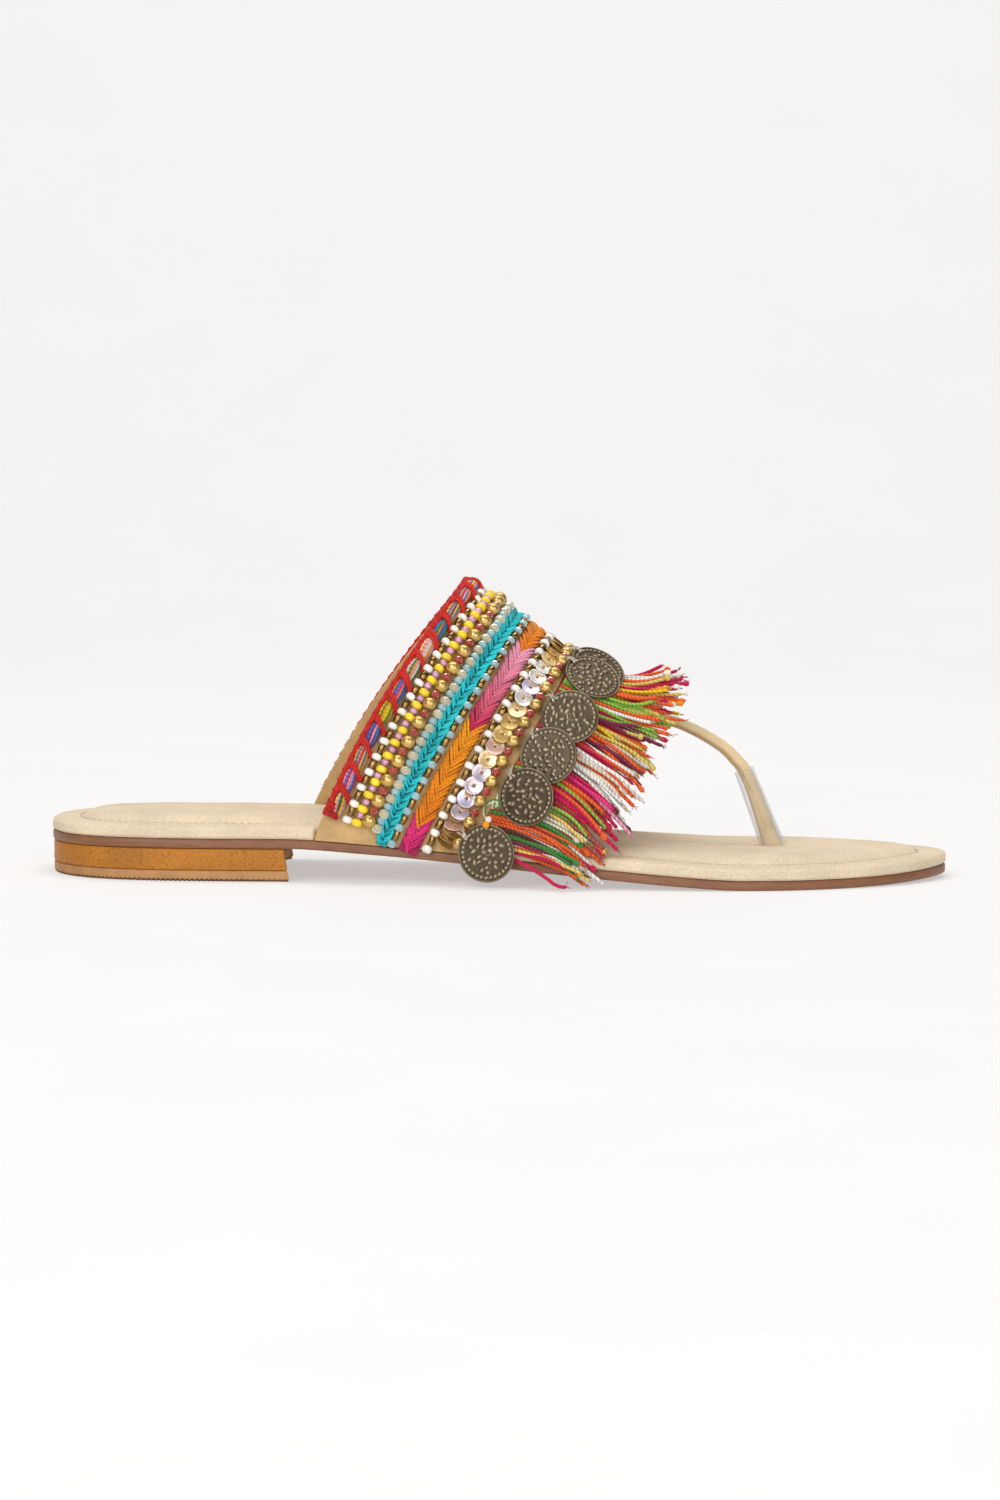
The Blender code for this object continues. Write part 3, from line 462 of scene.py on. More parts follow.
class Shade:
    """A Principled material and the few node helpers that the materials here share."""

    def __init__(self, name, roughness, **sockets):
        self.material = bpy.data.materials.new(name)
        self.material.use_nodes = True
        self.nodes = self.material.node_tree.nodes
        self.links = self.material.node_tree.links
        self.shader = self.nodes["Principled BSDF"]
        self.shader.inputs["Roughness"].default_value = roughness
        for socket, value in sockets.items():
            self.shader.inputs[socket.replace("_", " ")].default_value = value
        where = self.add("ShaderNodeTexCoord")
        scaled = self.add("ShaderNodeMapping")
        scaled.inputs["Scale"].default_value = (1000, 1000, 1000)
        self.links.new(where.outputs["Object"], scaled.inputs["Vector"])
        self.millimetres = scaled.outputs["Vector"]
        self.uv = where.outputs["UV"]

    def add(self, kind, **settings):
        node = self.nodes.new(kind)
        for key, value in settings.items():
            setattr(node, key, value)
        return node

    def parts(self, vector):
        """X, Y and Z of a vector."""
        node = self.add("ShaderNodeSeparateXYZ")
        self.links.new(vector, node.inputs[0])
        return node.outputs

    def noise(self, size, detail=3.0, roughness=0.55, stretch=None):
        """Noise whose features are about size millimetres."""
        vector = self.millimetres
        if stretch:
            node = self.add("ShaderNodeMapping")
            node.inputs["Scale"].default_value = stretch
            self.links.new(vector, node.inputs["Vector"])
            vector = node.outputs["Vector"]
        node = self.add("ShaderNodeTexNoise")
        node.inputs["Scale"].default_value = 1 / size
        node.inputs["Detail"].default_value = detail
        node.inputs["Roughness"].default_value = roughness
        self.links.new(vector, node.inputs["Vector"])
        return node.outputs["Fac"]

    def maths(self, operation, a, b=0.0):
        """A sum, product or other result of two values or node outputs."""
        node = self.add("ShaderNodeMath", operation=operation)
        for socket, value in zip(node.inputs, (a, b)):
            if isinstance(value, (int, float)):
                socket.default_value = value
            else:
                self.links.new(value, socket)
        return node.outputs[0]

    def scaled(self, value, by, plus):
        """value * by + plus."""
        return self.maths("ADD", self.maths("MULTIPLY", value, by), plus)

    def ramp(self, factor, low, high, start=0.3, end=0.7):
        node = self.add("ShaderNodeValToRGB")
        for stop, place, colour in zip(node.color_ramp.elements, (start, end), (low, high)):
            stop.position, stop.color = place, (*colour, 1)
        self.links.new(factor, node.inputs["Fac"])
        return node.outputs["Color"]

    def multiply(self, a, b, factor=1.0):
        node = self.add("ShaderNodeMix", data_type="RGBA", blend_type="MULTIPLY")
        node.inputs["Factor"].default_value = factor
        self.links.new(a, node.inputs["A"])
        self.links.new(b, node.inputs["B"])
        return node.outputs["Result"]

    def tint(self):
        return self.add("ShaderNodeVertexColor", layer_name="tint").outputs["Color"]

    def feed(self, socket, output):
        self.links.new(output, self.shader.inputs[socket])

    def bump(self, height, distance):
        """Bump from a height of 0 to 1 that stands for distance millimetres."""
        node = self.add("ShaderNodeBump")
        node.inputs["Distance"].default_value = distance * MM
        node.inputs["Strength"].default_value = 1.0
        self.links.new(height, node.inputs["Height"])
        self.feed("Normal", node.outputs["Normal"])


FULL = grey(1.0)


def suede(name, colour, mottle, nap, depth, contrast):
    """Napped leather or faux suede, with soft mottling and a short fine nap."""
    shade = Shade(name, 0.86, Sheen_Weight=0.25, Sheen_Roughness=0.5, Specular_IOR_Level=0.25)
    shade.shader.inputs["Sheen Tint"].default_value = (*times(colour, 1.2), 1)
    broad, fine = shade.noise(mottle, 4), shade.noise(nap, 2, 0.7)
    base = shade.ramp(broad, times(colour, 1 - contrast), times(colour, 1 + contrast * 0.7), 0.32, 0.68)
    shade.feed("Base Color", shade.multiply(base, shade.ramp(fine, (0.80, 0.79, 0.77), FULL, 0.32, 0.60)))
    shade.bump(shade.scaled(fine, 0.7, shade.noise(nap * 2.6, 2)), depth)
    return shade.material


def leather_edge(name, colour):
    """Cut leather edge with fibres along it."""
    shade = Shade(name, 0.48, Coat_Weight=0.12, Coat_Roughness=0.35)
    fibre = shade.noise(1.0, 4, 0.6, stretch=(0.18, 0.18, 2.2))
    blotch = shade.ramp(shade.noise(14, 3), (0.78, 0.74, 0.70), FULL)
    base = shade.ramp(fibre, times(colour, 0.72), times(colour, 1.18))
    shade.feed("Base Color", shade.multiply(base, blotch, 0.6))
    shade.feed("Roughness", shade.scaled(fibre, 0.25, 0.38))
    shade.bump(shade.maths("MULTIPLY", fibre, 0.3), 0.12)
    return shade.material


def speckled_heel(name, colour):
    """Ochre heel leather, even but for fine dark speckles and a slow change along the heel."""
    shade = Shade(name, 0.55, Specular_IOR_Level=0.35)
    slow = shade.ramp(shade.noise(16, 2), times(colour, 0.82), times(colour, 1.06), 0.32, 0.68)
    speckle = shade.noise(0.55, 3, 0.7)
    shade.feed("Base Color", shade.multiply(slow, shade.ramp(speckle, (0.45, 0.34, 0.26), FULL, 0.30, 0.50)))
    shade.bump(speckle, 0.06)
    return shade.material


def tinted(name, roughness, metallic=0.0, grain=0.25, depth=0.02, vary=0.12, **sockets):
    """Beads and sequins: each one's colour is its tint, with small wear in the shine."""
    shade = Shade(name, roughness, Metallic=metallic, **sockets)
    fine = shade.noise(grain, 2)
    worn = shade.ramp(shade.noise(1.7, 3), grey(1 - vary), FULL)
    shade.feed("Base Color", shade.multiply(shade.tint(), worn))
    shade.feed("Roughness", shade.scaled(fine, 0.16, max(roughness - 0.08, 0.02)))
    shade.bump(fine, depth)
    return shade.material


def thread(name, twist, contrast, depth, plies=2.0):
    """Twisted thread: its plies wind along the UV's v, in millimetres, and its colour is its tint."""
    shade = Shade(name, 0.66, Sheen_Weight=0.10, Sheen_Roughness=0.4, Specular_IOR_Level=0.25)
    uv = shade.parts(shade.uv)
    turn = shade.maths("SUBTRACT", shade.maths("MULTIPLY", uv["X"], plies), shade.maths("DIVIDE", uv["Y"], twist))
    ply = shade.scaled(shade.maths("SINE", shade.maths("MULTIPLY", turn, TURN)), 0.5, 0.5)
    fibre = shade.noise(0.16, 2, 0.7)
    shadow = shade.ramp(ply, grey(1 - contrast), FULL, 0.05, 0.75)
    fuzz = shade.ramp(fibre, grey(0.90), grey(1.10))
    shade.feed("Base Color", shade.multiply(shade.multiply(shade.tint(), shadow), fuzz))
    shade.bump(shade.scaled(fibre, 0.5, ply), depth)
    return shade.material


def coin_metal(name):
    """Antiqued brass: dark in the hollows, rubbed bright on what stands proud, as its tint says."""
    shade = Shade(name, 0.42, Metallic=0.9)
    patina = shade.ramp(shade.noise(2.2, 4, 0.65), (0.72, 0.72, 0.68), (1.10, 1.08, 1.0))
    shade.feed("Base Color", shade.multiply(shade.tint(), patina))
    fine = shade.noise(0.35, 3, 0.6)
    shade.feed("Roughness", shade.scaled(fine, 0.30, 0.26))
    shade.bump(fine, 0.06)
    return shade.material


def lift_rubber(name, colour):
    """Matt tan rubber with fine scuffs, and painted shade darkening the ribs of its lowest edge, where it meets the
    floor.
    """
    shade = Shade(name, 0.72, Specular_IOR_Level=0.35)
    # Painted shade: the lowest 0.3 mm is darkened, fading out by 0.62 mm up, for the dark line where the lift meets the
    # floor
    contact_shade = shade.ramp(shade.parts(shade.millimetres)["Z"], (0.30, 0.25, 0.22), FULL, 0.30, 0.62)
    even = shade.ramp(shade.noise(6, 5), times(colour, 0.80), times(colour, 1.12))
    shade.feed("Base Color", shade.multiply(even, contact_shade))
    grain = shade.noise(0.3, 2)
    shade.feed("Roughness", shade.scaled(grain, 0.3, 0.5))
    shade.bump(grain, 0.05)
    return shade.material


def clear_plastic(name):
    """Thin clear tube, with faint streaks from being drawn."""
    shade = Shade(name, 0.05, IOR=1.45)
    streak = shade.noise(0.8, 2, 0.5, stretch=(1, 1, 0.12))
    shade.feed("Base Color", shade.ramp(streak, (0.58, 0.61, 0.70), (0.74, 0.76, 0.83)))
    # The film is clear face on, and shows where it is seen along its own wall
    edge = shade.add("ShaderNodeLayerWeight")
    edge.inputs["Blend"].default_value = 0.30
    shade.feed("Alpha", shade.scaled(edge.outputs["Facing"], 0.60, 0.03))
    return shade.material


insole_suede = suede("insole_suede_look", linear(226, 208, 180), 16, 0.50, 0.14, 0.10)
band_suede = suede("band_suede_look", linear(206, 170, 118), 9, 0.38, 0.12, 0.16)
strap_leather = suede("strap_leather_look", linear(222, 200, 160), 8, 0.30, 0.07, 0.12)
outsole_leather = leather_edge("outsole_leather_look", linear(138, 90, 58))
heel_leather = speckled_heel("heel_leather_look", linear(186, 119, 34))
bead_gloss = tinted("bead_gloss_look", 0.16, Coat_Weight=0.6, Coat_Roughness=0.08)
bead_pearl = tinted("bead_pearl_look", 0.28, 0.35, Coat_Weight=0.5, Coat_Roughness=0.15)
bead_metal = tinted("bead_metal_look", 0.16, 1.0, grain=0.5, depth=0.03, vary=0.25)
bead_glass = tinted("bead_glass_look", 0.08, vary=0.05, Transmission_Weight=0.35, IOR=1.5, Coat_Weight=0.4,
                    Coat_Roughness=0.05)
bead_pearl_gold = tinted("bead_pearl_gold_look", 0.30, 0.80, grain=0.4, vary=0.10, Coat_Weight=0.5,
                         Coat_Roughness=0.12)
sequin_film = tinted("sequin_film_look", 0.22, 0.55, vary=0.08, Coat_Weight=0.7, Coat_Roughness=0.08)
cotton = thread("cotton_thread_look", twist=1.1, contrast=0.36, depth=0.14)
silk = thread("silk_thread_look", twist=0.8, contrast=0.26, depth=0.12)
coin_brass = coin_metal("coin_metal_look")
rubber = lift_rubber("lift_rubber_look", linear(184, 136, 88))
plastic = clear_plastic("clear_plastic_look")

WHITE, CREAM = linear(248, 245, 238), linear(242, 230, 208)
GOLD, BRIGHT_GOLD, PALE_GOLD = linear(214, 176, 100), linear(232, 196, 118), linear(238, 206, 140)
OLD_GOLD, BUGLE_GOLD = linear(190, 150, 84), linear(164, 132, 80)
DARK_RED, RED, YELLOW = linear(188, 34, 18), linear(230, 44, 32), linear(254, 218, 24)
LILAC, PALE_LILAC, BLUE = linear(214, 160, 190), linear(222, 212, 240), linear(166, 210, 218)
BEIGE, SHELL, LILAC_GREY = linear(240, 208, 156), linear(238, 196, 178), linear(212, 198, 212)
CLEAR, TEAL, ORANGE = linear(214, 206, 176), linear(40, 206, 214), linear(255, 160, 20)
PINK, MAGENTA, CRIMSON = linear(255, 172, 196), linear(240, 52, 130), linear(212, 26, 84)
SKY, PURPLE = linear(50, 130, 210), linear(120, 70, 160)
LIME, PLUM, BURNT, GREEN = linear(148, 200, 74), linear(136, 48, 78), linear(248, 104, 44), linear(70, 140, 62)
ROSE, BROWN, STRAW = linear(176, 96, 84), linear(104, 44, 36), linear(238, 212, 108)
TIE, STRING, ROOT = linear(226, 216, 196), linear(196, 180, 150), linear(180, 60, 40)
SEAM, INSOLE_SEAM = linear(196, 158, 116), linear(216, 194, 156)
LOOSE_THREAD, LOOSE_WHITE = linear(240, 226, 196), linear(246, 236, 214)


# Sole


NOTCH_DEPTH = BAND_SETBACK + BAND_WALL + 0.8
FOOT_END = BAND_REAR + BAND_SECTIONS[-1].lateral * BAND_WIDTH
OUTLINE_STEPS, HEEL_STEPS = 150, 70


def notch(ring):
    """How far the insole is let in for the band's feet at each point of the sole's ring."""
    first = BAND_SECTIONS[0]
    along = ring[:, 0]
    rear = BAND_REAR + BAND_WIDTH * np.where(ring[:, 1] < 0, first.lateral, first.medial) - 0.1
    s = np.clip(np.minimum(along - rear + 0.2, FOOT_END + 4.4 - along) / 0.6, 0, 1)
    return NOTCH_DEPTH * s * s * (3 - 2 * s)


def both_edges(stations):
    """The sole's edge at these stations, on its lateral and on its medial side."""
    return [np.stack([stations, edge_across(stations, side)], 1) for side in (LATERAL, MEDIAL)]


def outline():
    """The sole's outline: rear, lateral side, toe, and back along the medial side."""
    stations = SOLE_LENGTH * (1 - np.cos(math.pi * np.arange(1, OUTLINE_STEPS) / OUTLINE_STEPS)) / 2
    # Closer together where the insole is let in for the band's feet
    extra = np.concatenate([np.arange(66.0, 76.0, 0.4), np.arange(FOOT_END + 3, FOOT_END + 9, 0.4)])
    stations = np.sort(np.concatenate([stations, extra]))
    stations = stations[np.concatenate([[True], np.diff(stations) > 0.15])]
    lateral, medial = both_edges(stations)
    rear, toe = ([(along, float(edge_across(along, MEDIAL)))] for along in (0.0, SOLE_LENGTH))
    return np.concatenate([rear, lateral, toe, medial[::-1]])


def inset(ring, depth):
    """The closed ring, moved inwards."""
    ahead = np.roll(ring, -1, axis=0) - ring
    behind = np.roll(ahead, 1, axis=0)
    ratio = np.linalg.norm(behind, axis=1) / np.linalg.norm(ahead, axis=1)
    tangents = unit(ahead * ratio[:, None] + behind / ratio[:, None])
    return ring + np.stack([-tangents[:, 1], tangents[:, 0]], 1) * depth


def evened(ring, pitch):
    """The closed ring again, with points at an even pitch, and the distance walked to each."""
    loop = np.concatenate([ring, ring[:1]])
    walked = lengths_along(loop)
    at = np.linspace(0, walked[-1], int(walked[-1] / pitch), endpoint=False)
    return at_distance(at, walked, loop), at


# Depth in from the edge, and height, from the floor up
OUTSOLE_PROFILE = [(1.0, 0.0), (0.45, 0.1), (0.15, 0.4), (0.1, 0.8), (0.1, 1.9), (0.2, 2.3), (0.4, 2.55), (0.8, 2.65)]


def make_outsole():
    ring = outline()
    layers = []
    for depth, height in OUTSOLE_PROFILE:
        flat = inset(ring, depth)
        layers.append(np.column_stack([flat, underside(flat[:, 0]) + height]))
    # Both faces are closed from the lateral side to the medial one
    count, high = len(ring), (len(layers) - 1) * len(ring)
    i = np.arange(1, count // 2)
    rungs, end = np.stack([i, i + 1, count - i - 1, count - i], 1), np.array([(0, 1, count - 1)])
    quads = np.concatenate([grid_faces(len(layers), count, True), rungs[:, ::-1], rungs + high])
    quads = quads[[len(set(q)) == 4 for q in quads.tolist()]]
    faces = [quads, np.concatenate([end[:, ::-1], end + high])]
    piece = add_mesh("outsole_dressed", np.concatenate(layers), faces, [outsole_leather])
    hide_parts("outsole")


def heel_plan(setback):
    """The heel's outline, set in, with its concave breast."""
    stations = HEEL_LENGTH * (1 - np.cos(np.linspace(0, math.pi / 2, HEEL_STEPS + 1)[1:]))
    lateral, medial = both_edges(stations)
    moved = inset(np.concatenate([[(0.0, 0.0)], lateral, medial[::-1]]), setback)
    moved[HEEL_STEPS] = lateral[-1] + (BREAST_SKEW - BREAST_BACK, setback)
    moved[HEEL_STEPS + 1] = medial[-1] - (BREAST_SKEW + BREAST_BACK, setback)
    outer, inner = moved[HEEL_STEPS, 1], moved[HEEL_STEPS + 1, 1]
    shares = np.linspace(-1, 1, 41)[1:-1]
    cut = HEEL_LENGTH - BREAST_BACK - BREAST_DEPTH * (1 - shares**2) - BREAST_SKEW * shares
    breast = np.stack([cut, (outer + inner) / 2 + (inner - outer) / 2 * shares], 1)
    return np.concatenate([moved[: HEEL_STEPS + 1], breast, moved[HEEL_STEPS + 1 :]])


# The breast leans forward towards the floor, by this much at the bottom
BREAST_RAKE, HEEL_TOP = 1.5, 8.7
HEEL_RADIUS = 32
# Height, and how far the outline and its ribs are drawn in there
BLOCK_PROFILE = [(-0.25, 0.5), (-0.1, 0.15), (0.3, 0.0), (2.7, 0.06), (5.0, 0.0), (5.5, 0.1), (5.65, 0.5)]
LIFT_PROFILE = [(0, 0.5, 1.6), (0.10, 0.25, 1.6), (0.60, 0.15, 1.4), (0.80, 0.0, 0.05), (0.9, 0.0, 0),
                (2.7, 0.0, 0), (2.92, 0.15, 0), (3.0, 0.5, 0)]
RIB_PITCH = 1.35


def heel_pile(name, plan, profile, material):
    """A closed piece from the plan at each (height, drawn in) of a profile, bottom to top."""
    centre = np.array([HEEL_LENGTH / 2, 0.0])
    rings = []
    for height, shrink in profile:
        pulled = centre + (plan - centre) * (1 - shrink / HEEL_RADIUS)
        ahead = np.clip((pulled[:, 0] - HEEL_LENGTH + 12) / 12, 0, 1)
        along = pulled[:, 0] + BREAST_RAKE * ahead * (1 - height / HEEL_TOP)
        rings.append(np.column_stack([along, pulled[:, 1], np.full(len(pulled), height)]))
    return add_mesh(name, np.concatenate(rings), pile_faces(len(rings), len(plan)), [material])


def make_heel():
    base = LIFT_THICKNESS + CLEARANCE
    plan, _ = evened(heel_plan(0.4), 0.8)
    profile = [(base + height, shrink) for height, shrink in BLOCK_PROFILE]
    piece = heel_pile("heel_block_dressed", plan, profile, heel_leather)
    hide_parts("heel_block")

    plan, walked = evened(heel_plan(0.5), 0.16)
    rib = np.clip(0.5 + 1.1 * np.cos(walked * TURN / RIB_PITCH), 0, 1)[:, None]
    profile = [(height, shrink + ribbed * rib) for height, shrink, ribbed in LIFT_PROFILE]
    piece = heel_pile("top_lift_dressed", plan, profile, rubber)
    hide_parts("top_lift")


# The insole: depth in from its edge, and height above its base
WALL_PROFILE = [(0.60, -0.55), (0.48, -0.28), (0.10, -0.10), (0.0, 0.15), (0.0, 1.0)]
RIM_PROFILE = [(0.00, 1.60), (0.08, 1.95), (0.30, 2.32), (0.62, 2.56), (1.1, 2.74), (1.8, 2.88), (2.6, 2.97),
               (3.8, 3.05), (5.2, 3.10), (6.4, 3.09), (7.2, 3.00), (7.7, 2.86), (7.95, 2.80), (8.2, 2.88),
               (8.7, 3.30), (9.4, 3.84), (10.4, 4.38), (11.6, 4.78), (13.0, 5.02), (15.0, 5.16)]
CUSHION_CREST = RIM_PROFILE[-1][1]
NOTCH_FADE = 6.4
# The foot's print, worn in softly under heel and ball, and the post's dimple
DENTS = [(34, 0, 19, 0.25), (180, 2, 27, 0.22), (POST_ALONG, POST_ACROSS, 8, 0.75)]


def distance_to(ring, points):
    """Distance from each point to the closed ring of points."""
    ab = np.roll(ring, -1, axis=0) - ring
    size = (ab**2).sum(1)
    out = np.empty(len(points))
    for start in range(0, len(points), 2000):
        p = points[start : start + 2000]
        t = np.clip(((p[:, None] - ring) * ab).sum(-1) / size, 0, 1)
        out[start : start + 2000] = np.sqrt((((ring + ab * t[..., None]) - p[:, None]) ** 2).sum(-1).min(1))
    return out


def make_insole():
    ring = outline()
    x = np.clip(ring[:, 0], 27.0, 219.0)
    spine = np.stack([x, (edge_across(x, LATERAL) + edge_across(x, MEDIAL)) / 2], 1)
    tries = np.linspace(0, 1, 41)
    depths = np.stack([distance_to(ring, ring + (spine - ring) * t) for t in tries], 1)
    depths = np.maximum.accumulate(depths, axis=1) + np.linspace(0, 1e-4, 41)

    def layer(shares, rise):
        flat = ring + (spine - ring) * shares[:, None]
        return np.column_stack([flat, underside(flat[:, 0]) + INSOLE_BASE + rise])

    layers = []
    for number, (depth, rise) in enumerate(WALL_PROFILE + RIM_PROFILE):
        fade = 1.0 if number < len(WALL_PROFILE) else max(0.0, 1 - depth / NOTCH_FADE)
        goal = depth + notch(ring) * fade
        last = np.array([np.interp(g, d, tries) for g, d in zip(goal, depths)])
        layers.append(layer(last, rise))
    for share in np.linspace(0, 1, 12)[1:]:
        layers.append(layer(last + (1 - last) * share, CUSHION_CREST + 0.22 * (1 - (1 - share) ** 2)))
    points = np.concatenate(layers)
    x, y = points[:, 0], points[:, 1]
    soft = np.sin(x * 0.31 + 1.1) * np.sin(y * 0.23) + 0.6 * np.sin(x * 0.93 + y * 0.71)
    inner = np.clip((distance_to(ring, points[:, :2]) - 3) / 5, 0, 1)
    points[:, 2] += 0.05 * soft * inner
    for along, across, wide, deep in DENTS:
        points[:, 2] -= deep * np.exp(-((x - along) ** 2 + (y - across) ** 2) / wide**2) * inner
    piece = add_mesh("insole_dressed", points, [grid_faces(len(layers), len(ring), True)], [insole_suede])
    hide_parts("insole")


def make_insole_stitches():
    """A lockstitch round the rim's shoulder, left out under the band."""
    ring, _ = evened(inset(outline(), 7.75), 0.5)
    walked = lengths_along(ring)
    paths = []
    for start in np.arange(0.6, walked[-1] - 3, 2.15):
        flat = at_distance(start + np.linspace(0, 1.55, 7), walked, ring)
        if not 66 < flat[3, 0] < FOOT_END + 12:
            lift = 0.02 - 0.25 * np.abs(np.linspace(-1, 1, 7)) ** 3
            paths.append(np.column_stack([flat, underside(flat[:, 0]) + INSOLE_BASE + 2.96 + lift]))
    batch = Batch()
    batch.tubes(paths, 0.16, (0, 0, 1), 6, INSOLE_SEAM)
    piece = batch.make("insole_stitches", [silk])


# Band


def make_band():
    """The faux suede wall with rolled edges, one open arch."""
    arounds = np.linspace(-1, 1, 201)
    roll, half = 0.012, -BAND_WALL / 2
    turns = np.linspace(0, math.pi, 6)[1:-1]
    loop = [(across, 0.0) for across in np.linspace(roll, 0.988, 27)]
    loop += [(0.988 + roll * math.sin(turn), half * (1 - math.cos(turn))) for turn in turns]
    loop += [(across, -BAND_WALL) for across in np.linspace(0.988, roll, 15)]
    loop += [(roll - roll * math.sin(turn), half * (1 + math.cos(turn))) for turn in turns]
    loop = np.array(loop)
    round_it, acrosses = np.meshgrid(arounds, loop[:, 0], indexing="ij")
    lifts = np.broadcast_to(loop[:, 1], round_it.shape)
    # Soft pulls where the bead rows are sewn on
    pull = 0.10 * np.sin(acrosses * TURN / 0.077) * (acrosses > 0.1) + 0.07 * np.sin(round_it * 47 + acrosses * 9)
    points = band_point(round_it, acrosses, lifts + pull * (lifts > -0.1))
    points[[0, -1], :, 2] -= 0.55
    piece = add_mesh("upper_band_dressed", points, [grid_faces(len(arounds), len(loop), True)], [band_suede])
    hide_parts("upper_band")


def bead_row(name, across, pitch, gap, slot, lift, *beads):
    """Beads strung along the band, each given as (template, material, tint, share of the pitch, size)."""
    row = row_line(across, lift, gap)
    starts = np.arange(0.4, row.total - pitch * 0.6, pitch)
    batch = Batch()
    materials = []
    for k, (template, material, tint, share, spread) in enumerate(beads):
        if material not in materials:
            materials.append(material)
        places = starts + pitch * share
        places = places[places < row.total]
        count = len(places)
        at, axes = frames_at(row, places + jitter(count, 0.12, k + 3))
        axes = tilted(axes, jitter(count, 0.4, k), jitter(count, 0.10, k + 9), jitter(count, 0.12, k + 5))
        at = at + axes[:, 2] * jitter(count, 0.14, k + 20)[:, None] + axes[:, 1] * jitter(count, 0.08, k + 40)[:, None]
        sizes = 1 + np.stack([jitter(count, spread, 50 + k + i) for i in range(3)], 1)
        colours = np.clip(np.array(tint) * (1 + jitter(count, 0.10, k + 70)[:, None]), 0, 1)
        stamp(batch, template, at, axes, materials.index(material), colours, sizes)
    # The thread that the beads are strung on
    at, axes = frames_at(row, np.linspace(0.2, row.total - 0.2, int(row.total / 1.2)))
    batch.tubes(at, 0.28, axes[:, 1], 5, STRING, len(materials))
    piece = batch.make(name + "_dressed", materials + [silk])
    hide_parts(name)


def make_bead_rows():
    white = (ball_template(1.42, 1.95, 14, 8, 0.72), bead_gloss, WHITE, 0.2, 0.06)
    bead_row("row_white_bugle", 0.164, 4.7, 4.6, "white_glass", 1.3, white,
             (tube_template(0.86, 2.5), bead_metal, BUGLE_GOLD, 0.71, 0.05))
    bead_row("row_yellow_lilac", 0.233, 4.0, 4.0, "yellow_glass", 1.35,
             (ball_template(1.55, 2.1, 14, 8, 0.7), bead_gloss, YELLOW, 0.25, 0.05),
             (ball_template(1.15, 1.9, 12, 8, 0.75), bead_pearl, LILAC, 0.75, 0.06))
    bead_row("row_gold_red", 0.309, 6.0, 4.0, "gold_bead", 1.75,
             (ball_template(2.0, 3.8, 18, 12, 0.95), bead_pearl_gold, GOLD, 0.3, 0.03),
             (ball_template(1.2, 2.1, 12, 8, 0.8), bead_glass, DARK_RED, 0.80, 0.05))
    bead_row("row_clear_blue", 0.385, 4.4, 2.6, "blue_glass", 1.45,
             (ball_template(1.6, 2.6, 14, 10, 0.85), bead_glass, CLEAR, 0.28, 0.05),
             (ball_template(1.25, 1.9, 12, 8, 0.75), bead_glass, BLUE, 0.78, 0.06))
    bead_row("row_blue_bugle", 0.527, 4.8, -0.5, "blue_glass", 1.25,
             (ball_template(1.25, 2.1, 14, 8, 0.75), bead_glass, BLUE, 0.2, 0.05),
             (tube_template(0.86, 2.5), bead_metal, BUGLE_GOLD, 0.71, 0.05))
    bead_row("row_white_bugle_front", 0.7515, 5.1, -1.2, "white_glass", 1.3, white,
             (tube_template(0.92, 2.8), bead_metal, BUGLE_GOLD, 0.70, 0.05))
    bead_row("row_gold_front", 0.925, 6.3, 0.3, "gold_bead", 1.7,
             (ball_template(1.9, 3.6, 18, 12, 0.95), bead_pearl_gold, GOLD, 0.3, 0.03),
             (ball_template(1.2, 2.2, 12, 8, 0.8), bead_glass, DARK_RED, 0.79, 0.05))


# Radius and height of a sequin's rings, over its face and back under it
SEQUIN_PROFILE = [(0.28, 0.02), (0.9, 0.05), (1.7, 0.10), (2.35, 0.22), (2.66, 0.30), (2.66, 0.20), (2.3, 0.10),
                  (1.6, -0.02), (0.28, -0.08)]
SEQUIN_PITCH = 4.05
# From the crown down: the colour of each sequin, by its letter
SEQUIN_LETTERS = {"B": BRIGHT_GOLD, "G": GOLD, "P": PALE_GOLD, "O": OLD_GOLD, "W": WHITE, "L": PALE_LILAC,
                  "E": BEIGE, "S": SHELL, "Y": LILAC_GREY}
SEQUIN_COLOURS = [SEQUIN_LETTERS[letter] for letter in "BBGBPWWLWEGBSEYYLYSGOGBOG"]


def sequin_template(size=1.0):
    """A thin, slightly cupped disc with a hole, facing n."""
    turn = angles(24)
    rings = [np.stack([r * np.cos(turn), np.full(24, n), r * np.sin(turn)], 1) for r, n in SEQUIN_PROFILE]
    return np.concatenate(rings) * (size, 1, size), shell_faces(len(rings), 24)


def make_sequins():
    row = row_line(0.836, 1.15, -0.3)
    batch = Batch()
    for side, first in ((LATERAL, 0), (MEDIAL, 1)):
        far = reach(row, side) - 0.8
        # The discs stand closer, almost on edge, towards the foot
        flat, stood = np.arange(first * SEQUIN_PITCH, far - 9.0, SEQUIN_PITCH), np.arange(far - 7.4, far, 1.9)
        walks = np.concatenate([flat, stood])
        count = len(walks)
        at, axes = frames_at(row, row.crown + side * walks)
        steep = 0.16 + 1.05 * np.clip((walks - far + 14.0) / 9.0, 0, 1)
        turn = tilted(axes, jitter(count, 0.10, 4), jitter(count, 0.5, 5), side * steep + jitter(count, 0.07, 6))
        at = at + axes[:, 2] * jitter(count, 0.25, 8)[:, None] + axes[:, 1] * 0.25
        # A smaller gold disc lies half under each large one
        between = at + axes[:, 0] * SEQUIN_PITCH / 2 - axes[:, 1] * 0.35
        stamp(batch, sequin_template(0.62), between, turn, 0, np.array(BEIGE) * (1 + jitter(count, 0.12, 9)[:, None]))
        colours = [SEQUIN_COLOURS[(first + k) % len(SEQUIN_COLOURS)] for k in range(count)]
        stamp(batch, sequin_template(), at, turn, 0, colours)
        stamp(batch, ball_template(0.34, 0.6, 8, 5), at + axes[:, 1] * 0.12, axes, 1, times(GOLD, 0.7))
    piece = batch.make("row_sequins_dressed", [sequin_film, bead_metal])
    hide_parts("row_sequins")


BRAID_PITCH, STITCH_PITCH, WRAP_PITCH = 2.5, 1.5, 7.0


